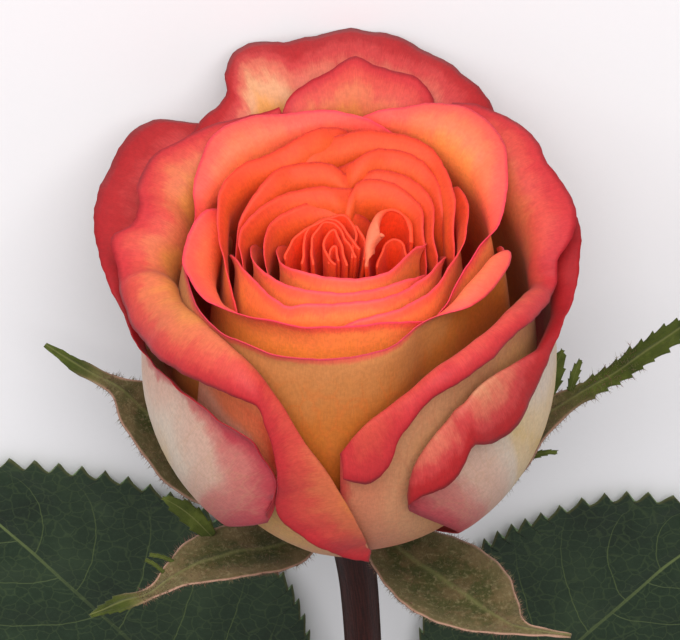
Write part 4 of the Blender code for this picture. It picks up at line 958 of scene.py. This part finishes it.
def stem_parts():
    """Stem, hip and receptacle with a slanting cut, and its prickles."""
    sides = STEM_SIDES
    line = smooth_path(STEM_LINE, STEM_RINGS)
    rings, faces = tube_part(line, sides)
    rings[0, :, 2] += (rings[0, :, 0] - rings[0, :, 0].mean()) * CUT_SLANT
    angles = np.arange(sides) * 2 * math.pi / sides
    centre = line[:, None, :3]
    (high, few), (low, many) = STEM_RIDGES
    ridge = (1 + high * np.sin(few * angles[None] + line[:, 2:3] / STEM_RIDGE_TURN)
             + low * np.sin(many * angles[None] + 1))
    rings = centre + (rings - centre) * ridge[..., None]
    inset = rings[0].mean(0) + (rings[0] - rings[0].mean(0)) * CUT_INSET
    start = len(rings) * sides
    faces = [face for face in faces if face != list(range(sides))[::-1]]
    for k in range(sides):
        n = (k + 1) % sides
        faces.append([n, k, start + k, start + n])
    faces.append([start + k for k in range(sides)][::-1])
    points = np.concatenate([rings.reshape(-1, 3), inset])
    values = {"height": points[:, 2], "cut": np.repeat([0.0, 1.0], [start, sides]),
              "turn": np.tile(angles, len(rings) + 1), "prickle": np.zeros(len(points))}
    return [(place_points(points, LYING), faces, values)] + [prickle_part(*place) for place in PRICKLES]


def prickle_part(height, azimuth):
    """A down-curved prickle, rooted inside the stem."""
    line = np.array(STEM_LINE)
    x, y, radius = (np.interp(height, line[:, 2], line[:, k]) for k in (0, 1, 3))
    out = around(azimuth, 1.0, 0.0)
    side = around(azimuth + 90.0, 1.0, 0.0)
    rings = []
    angles = np.arange(PRICKLE_SIDES) * 2 * math.pi / PRICKLE_SIDES
    shares = np.linspace(0.0, 1.0, PRICKLE_RINGS)
    for share in shares:
        reach = radius - PRICKLE_ROOT + share * (PRICKLE_LENGTH + PRICKLE_ROOT)
        size = PRICKLE_WIDTH * (1.0 - share) ** PRICKLE_POWER + PRICKLE_TIP
        middle = np.array([x, y, height]) + out * reach - np.array([0.0, 0.0, PRICKLE_SINK * share ** 2])
        rings.append([middle + side * (0.5 * size * math.cos(a))
                      + np.array([0, 0, PRICKLE_TALLNESS * size * math.sin(a)]) for a in angles])
    points = np.array(rings).reshape(-1, 3)
    values = {"height": points[:, 2], "cut": np.zeros(len(points)), "turn": np.zeros(len(points)),
              "prickle": np.repeat(shares, PRICKLE_SIDES)}
    return place_points(points, LYING), ring_faces(len(rings), PRICKLE_SIDES), values


def linear(colour):
    """A colour given as 0 to 255 screen values, as the shader wants it."""
    share = np.asarray(colour, float) / 255.0
    return (*np.where(share <= 0.04045, share / 12.92, ((share + 0.055) / 1.055) ** 2.4), 1.0)


class Shade:
    """One material's nodes, added by short calls that hand back their outputs."""

    def __init__(self, name, roughness, specular, sheen=0.0):
        self.material = bpy.data.materials.new(name)
        self.material.use_nodes = True
        self.nodes = self.material.node_tree.nodes
        self.links = self.material.node_tree.links
        self.shader = self.nodes["Principled BSDF"]
        self.shader.inputs["Roughness"].default_value = roughness
        self.shader.inputs["Specular IOR Level"].default_value = specular
        self.shader.inputs["Sheen Weight"].default_value = sheen

    def put(self, socket, value):
        if isinstance(value, bpy.types.NodeSocket):
            self.links.new(value, socket)
        else:
            socket.default_value = value

    def attribute(self, name):
        node = self.nodes.new("ShaderNodeAttribute")
        node.attribute_name = name
        return node.outputs["Fac"]

    def attributes(self, *names):
        return [self.attribute(name) for name in names]

    def paint(self, colour):
        self.put(self.shader.inputs["Base Color"], colour)

    def place(self):
        return self.nodes.new("ShaderNodeTexCoord").outputs["Object"]

    def math(self, kind, first, second=0.0, clamp=False):
        node = self.nodes.new("ShaderNodeMath")
        node.operation = kind
        node.use_clamp = clamp
        self.put(node.inputs[0], first)
        self.put(node.inputs[1], second)
        return node.outputs[0]

    def times(self, first, second):
        return self.math("MULTIPLY", first, second)

    def plus(self, first, second):
        return self.math("ADD", first, second)

    def minus(self, first, second):
        return self.math("SUBTRACT", first, second)

    def swing(self, noise, size):
        """A noise of 0 to 1 as a shift to either side."""
        return self.times(self.minus(noise, 0.5), size)

    def step(self, value, low, high, start=0.0, end=1.0):
        node = self.nodes.new("ShaderNodeMapRange")
        node.interpolation_type = "SMOOTHSTEP"
        for key, number in (("Value", value), ("From Min", low), ("From Max", high),
                            ("To Min", start), ("To Max", end)):
            self.put(node.inputs[key], number)
        return node.outputs[0]

    def vector(self, x, y, z=0.0):
        node = self.nodes.new("ShaderNodeCombineXYZ")
        for k, value in enumerate((x, y, z)):
            self.put(node.inputs[k], value)
        return node.outputs[0]

    def noise(self, vector, scale, detail=3.0, roughness=0.55, distortion=0.0):
        node = self.nodes.new("ShaderNodeTexNoise")
        self.put(node.inputs["Vector"], vector)
        for key, number in (("Scale", scale), ("Detail", detail), ("Roughness", roughness),
                            ("Distortion", distortion)):
            node.inputs[key].default_value = number
        return node.outputs[0]

    def cells(self, vector, scale):
        """Distance to the edges of irregular cells."""
        node = self.nodes.new("ShaderNodeTexVoronoi")
        node.feature = "DISTANCE_TO_EDGE"
        self.put(node.inputs["Vector"], vector)
        node.inputs["Scale"].default_value = scale
        return node.outputs["Distance"]

    def ramp(self, value, stops, reach):
        """Colours at distances up to reach, with a smooth passage between them."""
        node = self.nodes.new("ShaderNodeValToRGB")
        node.color_ramp.interpolation = "EASE"
        elements = node.color_ramp.elements
        elements[0].position, elements[0].color = stops[0][0] / reach, linear(stops[0][1])
        elements[1].position, elements[1].color = stops[-1][0] / reach, linear(stops[-1][1])
        for where, colour in stops[1:-1]:
            element = elements.new(where / reach)
            element.color = linear(colour)
        self.put(node.inputs[0], self.math("DIVIDE", value, reach, clamp=True))
        return node.outputs[0]

    def mix(self, share, first, second):
        """A passage from one colour to another, each an output or 0 to 255 screen values."""
        node = self.nodes.new("ShaderNodeMix")
        node.data_type = "RGBA"
        self.put(node.inputs[0], share)
        for socket, colour in ((6, first), (7, second)):
            self.put(node.inputs[socket], linear(colour) if isinstance(colour, tuple) else colour)
        return node.outputs[2]

    def bump(self, height, strength, distance):
        node = self.nodes.new("ShaderNodeBump")
        node.inputs["Strength"].default_value = strength
        node.inputs["Distance"].default_value = distance
        self.put(node.inputs["Height"], height)
        self.put(self.shader.inputs["Normal"], node.outputs[0])
        return node.outputs[0]

    def glow_through(self, share, colour, normal):
        """Lets part of the light pass through the blade."""
        through = self.nodes.new("ShaderNodeBsdfTranslucent")
        self.put(through.inputs["Color"], colour)
        self.put(through.inputs["Normal"], normal)
        both = self.nodes.new("ShaderNodeMixShader")
        both.inputs[0].default_value = share
        self.links.new(self.shader.outputs[0], both.inputs[1])
        self.links.new(through.outputs[0], both.inputs[2])
        self.links.new(both.outputs[0], self.nodes["Material Output"].inputs["Surface"])


# Petal looks: colours by distance from the margin in millimetres on the inner and outer face, the
# veins' colour and share, how far blotches shift the colours, and the share of light let through
PALETTES = {
    "outer": dict(
        inner=[(0, (153, 17, 25)), (2.5, (165, 30, 33)), (5.5, (184, 57, 56)), (9, (198, 97, 78)),
               (14, (205, 144, 105)), (21, (207, 137, 70)), (32, (195, 92, 37))],
        outer=[(0, (175, 29, 48)), (1, (188, 64, 74)), (2.6, (201, 114, 106)), (5.5, (211, 171, 152)),
               (18, (215, 196, 178)), (36, (215, 188, 146)), (47, (211, 177, 112))],
        vein=(196, 150, 112), vein_share=0.17, blotch=6, through=0.25),
    "second": dict(
        inner=[(0, (167, 26, 37)), (1.2, (185, 44, 48)), (4, (197, 68, 57)), (8, (202, 101, 66)),
               (13, (204, 124, 61)), (21, (202, 105, 33)), (32, (186, 67, 18))],
        outer=[(0, (184, 32, 50)), (1.2, (201, 76, 64)), (3, (210, 128, 94)), (10, (210, 149, 106)),
               (22, (212, 158, 90)), (38, (216, 169, 70))],
        vein=(204, 120, 84), vein_share=0.22, blotch=4.4, through=0.25),
    "third": dict(
        inner=[(0, (228, 62, 78)), (0.7, (238, 84, 72)), (4, (242, 108, 72)), (9, (242, 134, 66)),
               (17, (240, 112, 36)), (30, (224, 68, 16))],
        outer=[(0, (222, 52, 80)), (0.8, (244, 100, 72)), (2.5, (252, 144, 76)), (9, (252, 150, 62)),
               (22, (246, 130, 42)), (38, (232, 120, 44))],
        vein=(226, 104, 44), vein_share=0.17, blotch=3.2, through=0.25),
    "panel": dict(
        inner=[(0, (232, 70, 80)), (0.7, (242, 90, 70)), (4, (244, 112, 68)), (9, (244, 134, 62)),
               (17, (240, 116, 34)), (30, (226, 72, 16))],
        outer=[(0, (188, 45, 70)), (0.7, (206, 93, 68)), (1.8, (195, 127, 72)), (8, (190, 121, 63)),
               (18, (193, 109, 39)), (30, (190, 96, 26))],
        vein=(206, 104, 40), vein_share=0.32, blotch=2.8, through=0.25),
    "inner": dict(
        inner=[(0, (212, 56, 40)), (0.5, (217, 68, 36)), (3, (219, 80, 32)), (8, (219, 89, 26)),
               (15, (215, 66, 16)), (28, (206, 45, 8))],
        outer=[(0, (240, 68, 82)), (0.8, (252, 101, 73)), (2.4, (255, 131, 71)), (7, (255, 140, 59)),
               (16, (255, 117, 39)), (30, (248, 90, 27))],
        vein=(240, 96, 40), vein_share=0.17, blotch=2.4, through=0.28),
    "heart": dict(
        inner=[(0, (244, 84, 52)), (0.4, (248, 84, 44)), (2.5, (252, 78, 34)), (7, (252, 70, 24)),
               (12, (248, 58, 16)), (20, (236, 44, 8))],
        outer=[(0, (240, 76, 44)), (0.5, (246, 84, 42)), (2.5, (250, 88, 40)), (7, (250, 82, 30)),
               (12, (246, 68, 20)), (20, (232, 48, 10))],
        vein=(220, 50, 20), vein_share=0.1, blotch=1.2, through=0.42),
}
PALETTE_REACH = 48.0
BLUSH = [(0, (158, 18, 28)), (1.5, (184, 30, 36)), (3.2, (222, 70, 48)), (5, (240, 128, 84)),
         (6.8, (240, 166, 136)), (14, (238, 176, 144))]
PALE_LIP = (240, 128, 92)


def petal_material(look):
    palette = PALETTES[look]
    shade = Shade("petal_" + look, 0.55, 0.25, 0.04)
    shade.shader.inputs["Sheen Roughness"].default_value = 0.5
    margin, flush, fan, length = shade.attributes("margin", "flush", "fan", "length")
    backflush_and_shade, blush, outside = shade.attributes("backflush_and_shade", "blush", "face")
    where = shade.place()
    lines = shade.vector(fan, shade.times(length, 0.012))
    streak = shade.noise(lines, 52.0, 4.0, 0.65)
    wide = shade.noise(shade.vector(fan, shade.times(length, 0.03)), 5.0, 3.0)
    blotch = shade.noise(where, 140.0, 3.0, 0.5)
    grain = shade.noise(where, 1500.0, 2.0, 0.6)
    shift = shade.plus(shade.swing(streak, 1.8), shade.swing(wide, 4.5))
    shift = shade.plus(shift, shade.swing(blotch, palette["blotch"]))
    shift = shade.times(shift, shade.step(margin, 0.0, 4.0))
    reach = shade.math("MAXIMUM", shade.plus(margin, shift), 0.0)
    inside_colour = shade.ramp(shade.math("DIVIDE", reach, flush), palette["inner"], PALETTE_REACH)
    # On most petals this stretch of the outer face's colours is a real flush; toward the front panel's right
    # end it deepens the orange to paint shade
    outside_colour = shade.ramp(shade.math("DIVIDE", reach, backflush_and_shade), palette["outer"], PALETTE_REACH)
    net = shade.cells(shade.vector(shade.times(fan, 2.6), shade.times(length, 0.085),
                                   shade.times(blotch, 1.6)), 1.1)
    vein = shade.times(shade.step(net, 0.0, 0.07, 1.0, 0.0),
                       shade.step(margin, 2.0, 9.0, 0.0, palette["vein_share"]))
    outside_colour = shade.mix(vein, outside_colour, palette["vein"])
    if look == "second":
        stain = shade.times(shade.step(blush, 8.0, BLUSH_REACH, 1.0, 0.0),
                           shade.step(margin, 1.0, 3.0))
        stained = shade.ramp(shade.plus(blush, shade.times(shift, 0.2)), BLUSH, BLUSH_REACH)
        outside_colour = shade.mix(stain, outside_colour, stained)
    colour = shade.mix(outside, inside_colour, outside_colour)
    if look == "heart":
        colour = shade.mix(shade.attribute("pale"), colour, PALE_LIP)
    fleck = shade.plus(shade.times(streak, 0.5), shade.times(grain, 0.5))
    tone = shade.nodes.new("ShaderNodeHueSaturation")
    shade.put(tone.inputs["Color"], colour)
    shade.put(tone.inputs["Value"], shade.step(fleck, 0.35, 0.65, 0.88, 1.06))
    colour = tone.outputs[0]
    shade.paint(colour)
    relief = shade.plus(shade.times(streak, 0.7), shade.times(grain, 0.3))
    normal = shade.bump(relief, 0.35, 0.00018)
    shade.glow_through(palette["through"], colour, normal)
    return shade.material


def sepal_material():
    shade = Shade("sepal_felt", 0.75, 0.15, 0.06)
    where = shade.place()
    margin, leafy, rib = shade.attributes("margin", "leafy", "place")
    patches = shade.noise(where, 220.0, 4.0, 0.6)
    felt = shade.noise(where, 1400.0, 4.0, 0.7)
    colour = shade.ramp(shade.times(patches, 10.0),
                        [(2.5, (42, 50, 20)), (4.5, (56, 56, 24)), (6.0, (72, 60, 32)), (8.0, (86, 74, 44))],
                        10.0)
    worn = shade.plus(shade.step(margin, 0.5, 4.5, 0.45, 0.0), shade.step(patches, 0.45, 0.65, 0.0, 0.25))
    colour = shade.mix(worn, colour, (106, 90, 62))
    colour = shade.mix(shade.step(felt, 0.48, 0.72, 0.0, 0.42), colour, (132, 120, 88))
    edge = shade.step(margin, 0.0, 0.5, 0.75, 0.0)
    colour = shade.mix(edge, colour, (168, 128, 112))
    green = shade.ramp(shade.times(patches, 10.0),
                       [(3.0, (40, 48, 10)), (5.0, (54, 62, 16)), (7.0, (72, 80, 28))], 10.0)
    colour = shade.mix(leafy, colour, green)
    midrib = shade.step(shade.math("ABSOLUTE", rib), 0.0, 0.10, 0.5, 0.0)
    colour = shade.mix(midrib, colour, (104, 104, 62))
    shade.paint(colour)
    shade.bump(shade.plus(felt, patches), 0.6, 0.0003)
    return shade.material


def hair_material():
    shade = Shade("sepal_hair", 0.5, 0.3)
    tint = shade.noise(shade.place(), 500.0, 1.0)
    colour = shade.mix(shade.step(tint, 0.4, 0.6), (108, 98, 70), (116, 78, 64))
    shade.paint(colour)
    return shade.material


def leaf_material():
    shade = Shade("leaf_green", 0.5, 0.22, 0.03)
    where = shade.place()
    rib, vein, place, margin, under = shade.attributes("rib", "vein", "place", "margin", "face")
    wobble = shade.swing(shade.noise(where, 260.0, 2.0), 0.10)
    phase = shade.math("FRACT", shade.plus(shade.plus(vein, wobble), 10.5))
    nearest = shade.math("ABSOLUTE", shade.minus(phase, 0.5))
    side_vein = shade.step(nearest, 0.004, 0.019, 0.9, 0.0)
    side_vein = shade.times(side_vein, shade.step(place, 0.45, 0.95, 0.5, 0.08))
    midrib = shade.step(rib, 0.14, 0.40, 0.8, 0.0)
    drift = shade.vector(shade.noise(where, 500.0, 2.0), shade.noise(where, 520.0, 2.0, 0.5, 0.3))
    swayed = shade.nodes.new("ShaderNodeVectorMath")
    swayed.operation = "MULTIPLY_ADD"
    shade.put(swayed.inputs[0], drift)
    swayed.inputs[1].default_value = (0.0016, 0.0016, 0.0016)
    shade.put(swayed.inputs[2], where)
    net = shade.cells(swayed.outputs[0], 430.0)
    fine = shade.step(net, 0.0, 0.07, 0.22, 0.0)
    patches = shade.noise(where, 60.0, 3.0)
    speckle = shade.noise(where, 1600.0, 3.0, 0.7)
    colour = shade.ramp(shade.times(patches, 10.0),
                        [(3.0, (22, 33, 22)), (5.0, (28, 42, 27)), (7.0, (38, 52, 34))], 10.0)
    colour = shade.mix(shade.step(speckle, 0.45, 0.7, 0.0, 0.2), colour, (50, 66, 48))
    colour = shade.mix(fine, colour, (74, 88, 52))
    colour = shade.mix(side_vein, colour, (86, 100, 56))
    colour = shade.mix(midrib, colour, (104, 116, 68))
    colour = shade.mix(shade.step(margin, 0.0, 0.5, 0.5, 0.0), colour, (84, 80, 44))
    colour = shade.mix(under, colour, (96, 116, 82))
    shade.paint(colour)
    height = shade.plus(shade.times(fine, -0.8), shade.times(speckle, 0.25))
    height = shade.minus(height, side_vein)
    shade.bump(height, 0.5, 0.00025)
    return shade.material


def stem_material():
    shade = Shade("stem_bark", 0.5, 0.16)
    where = shade.place()
    height, cut, turn, prickle = shade.attributes("height", "cut", "turn", "prickle")
    lines = shade.noise(shade.vector(shade.times(turn, 3.0), shade.times(height, 0.05)),
                        4.0, 4.0, 0.6)
    patches = shade.noise(where, 90.0, 3.0)
    purple = shade.mix(shade.step(lines, 0.35, 0.65), (34, 8, 6), (56, 20, 15))
    green = shade.mix(shade.step(lines, 0.35, 0.65), (70, 76, 38), (94, 98, 54))
    reach = shade.plus(height, shade.swing(patches, 90.0))
    colour = shade.mix(shade.step(reach, -110.0, -45.0), green, purple)
    hip = shade.times(shade.step(height, -12.0, -9.0), shade.step(height, -2.5, -1.5, 1.0, 0.0))
    colour = shade.mix(hip, colour, (74, 82, 46))
    colour = shade.mix(shade.step(prickle, 0.05, 0.5), colour, (128, 62, 48))
    colour = shade.mix(cut, colour, (176, 184, 128))
    speck = shade.noise(where, 1500.0, 2.0)
    shade.paint(colour)
    shade.bump(shade.plus(lines, shade.times(speck, 0.5)), 0.4, 0.0002)
    return shade.material


def add_bloom():
    looks = {name: petal_material(name) for name in PALETTES}
    for seed, petal in enumerate(PETALS):
        name = petal["name"]
        look = petal.get("look", "inner")
        slot = "petals_inner" if look == "inner" else "petals_outer"
        add_piece(name + "_fine", petal_part(tucked(petal), seed), looks[look], slot, name)
    folds = enumerate(zip(HEART_FOLDS, FOLD_CENTRES), FOLD_SEED)
    parts = [fold_part(rim, centre, seed) for seed, (rim, centre) in folds]
    parts.append(fold_part(CURLED_FOLD, CURLED_ROOT, CURL_SEED, CURL_ROLL))
    core_line = [(x, 0.0, z, r) for x, r, z in HEART_CORE]
    core, faces = tube_part(smooth_path(core_line, CORE_RINGS), CORE_SIDES)
    core = core.reshape(-1, 3)
    full = np.ones(len(core))
    parts.append((place_points(core, LYING), faces, {
        "margin": full * CORE_MARGIN, "flush": full, "backflush_and_shade": full, "blush": full * BLUSH_REACH,
        "pale": full * 0.0, "fan": full * CORE_FAN, "length": core[:, 2], "face": full}))
    add_piece("petals_heart_fine", joined(parts), looks["heart"], "petals_inner", "petals_heart")


def add_green():
    felt, hair, leaf_green = sepal_material(), hair_material(), leaf_material()
    for seed, sepal in enumerate(SEPALS):
        parts, grid = sepal_parts(sepal, seed)
        name = sepal["name"]
        add_piece(name + "_fine", joined(parts), felt, "sepals", name)
        add_piece(name + "_hairs", hair_part(grid, seed + HAIR_SEED), hair, "sepals")
    for leaf in LEAVES:
        add_piece(leaf["name"] + "_fine", joined(leaf_parts(leaf)), leaf_green, "leaves", leaf["name"])
    add_piece("stem_fine", joined(stem_parts()), stem_material(), "stem", "stem")


def add_floor():
    mesh = bpy.data.meshes.new("floor")
    corners = [(x * FLOOR_SIZE, y * FLOOR_SIZE, FLOOR_HEIGHT)
               for x, y in ((-1, -1), (1, -1), (1, 1), (-1, 1))]
    mesh.from_pydata(corners, [], [(0, 1, 2, 3)])
    floor = add_object("floor", mesh)
    shade = Shade("floor_paper", 0.9, 0.1)
    split = shade.nodes.new("ShaderNodeSeparateXYZ")
    shade.put(split.inputs[0], shade.place())
    toward_bloom = shade.step(split.outputs[1], FLOOR_STEM_Y, FLOOR_BLOOM_Y)
    grain = shade.noise(shade.place(), 900.0, 2.0)
    paper = shade.mix(toward_bloom, (216, 215, 218), (213, 209, 211))
    paper = shade.mix(shade.step(grain, 0.3, 0.7, 0.0, 0.04), paper, (200, 200, 200))
    shade.paint(paper)
    mesh.materials.append(shade.material)


def add_light():
    for name, place, size, power in LIGHTS:
        data = bpy.data.lights.new(name, "AREA")
        data.shape = "RECTANGLE"
        data.size, data.size_y = size
        data.energy = power
        lamp = add_object(name, data)
        lamp.location = place
        lamp.rotation_euler = (Vector(BLOOM_PLACE) - Vector(place)).to_track_quat("-Z", "Y").to_euler()
    world = bpy.data.worlds.new("studio")
    bpy.context.scene.world = world
    world.use_nodes = True
    background = world.node_tree.nodes["Background"]
    background.inputs["Color"].default_value = (1.0, 1.0, 1.0, 1.0)
    background.inputs["Strength"].default_value = WORLD_STRENGTH


def add_camera():
    """The photograph's view: down on the lying bloom, with its top toward the picture's top."""
    axes = [LYING[:3, :3] @ axis / MM for axis in (np.array([1.0, 0.0, 0.0]), VIEW_UP, VIEW_AWAY)]
    place = LYING[:3, :3] @ (VIEW_TARGET + VIEW_AWAY * VIEW_DISTANCE) + LYING[:3, 3]
    data = bpy.data.cameras.new("camera")
    data.sensor_width = SENSOR_WIDTH
    data.lens = SENSOR_WIDTH * VIEW_PIXELS_PER_MM * VIEW_DISTANCE / VIEW_WIDTH_PIXELS
    camera = add_object("camera", data)
    camera.matrix_world = Matrix(np.vstack([np.column_stack([*axes, place]), [0.0, 0.0, 0.0, 1.0]]).tolist())
    bpy.context.scene.camera = camera


bpy.context.scene.view_settings.view_transform = "Standard"
add_bloom()
add_green()
add_floor()
add_light()
add_camera()
bpy.context.view_layer.update()
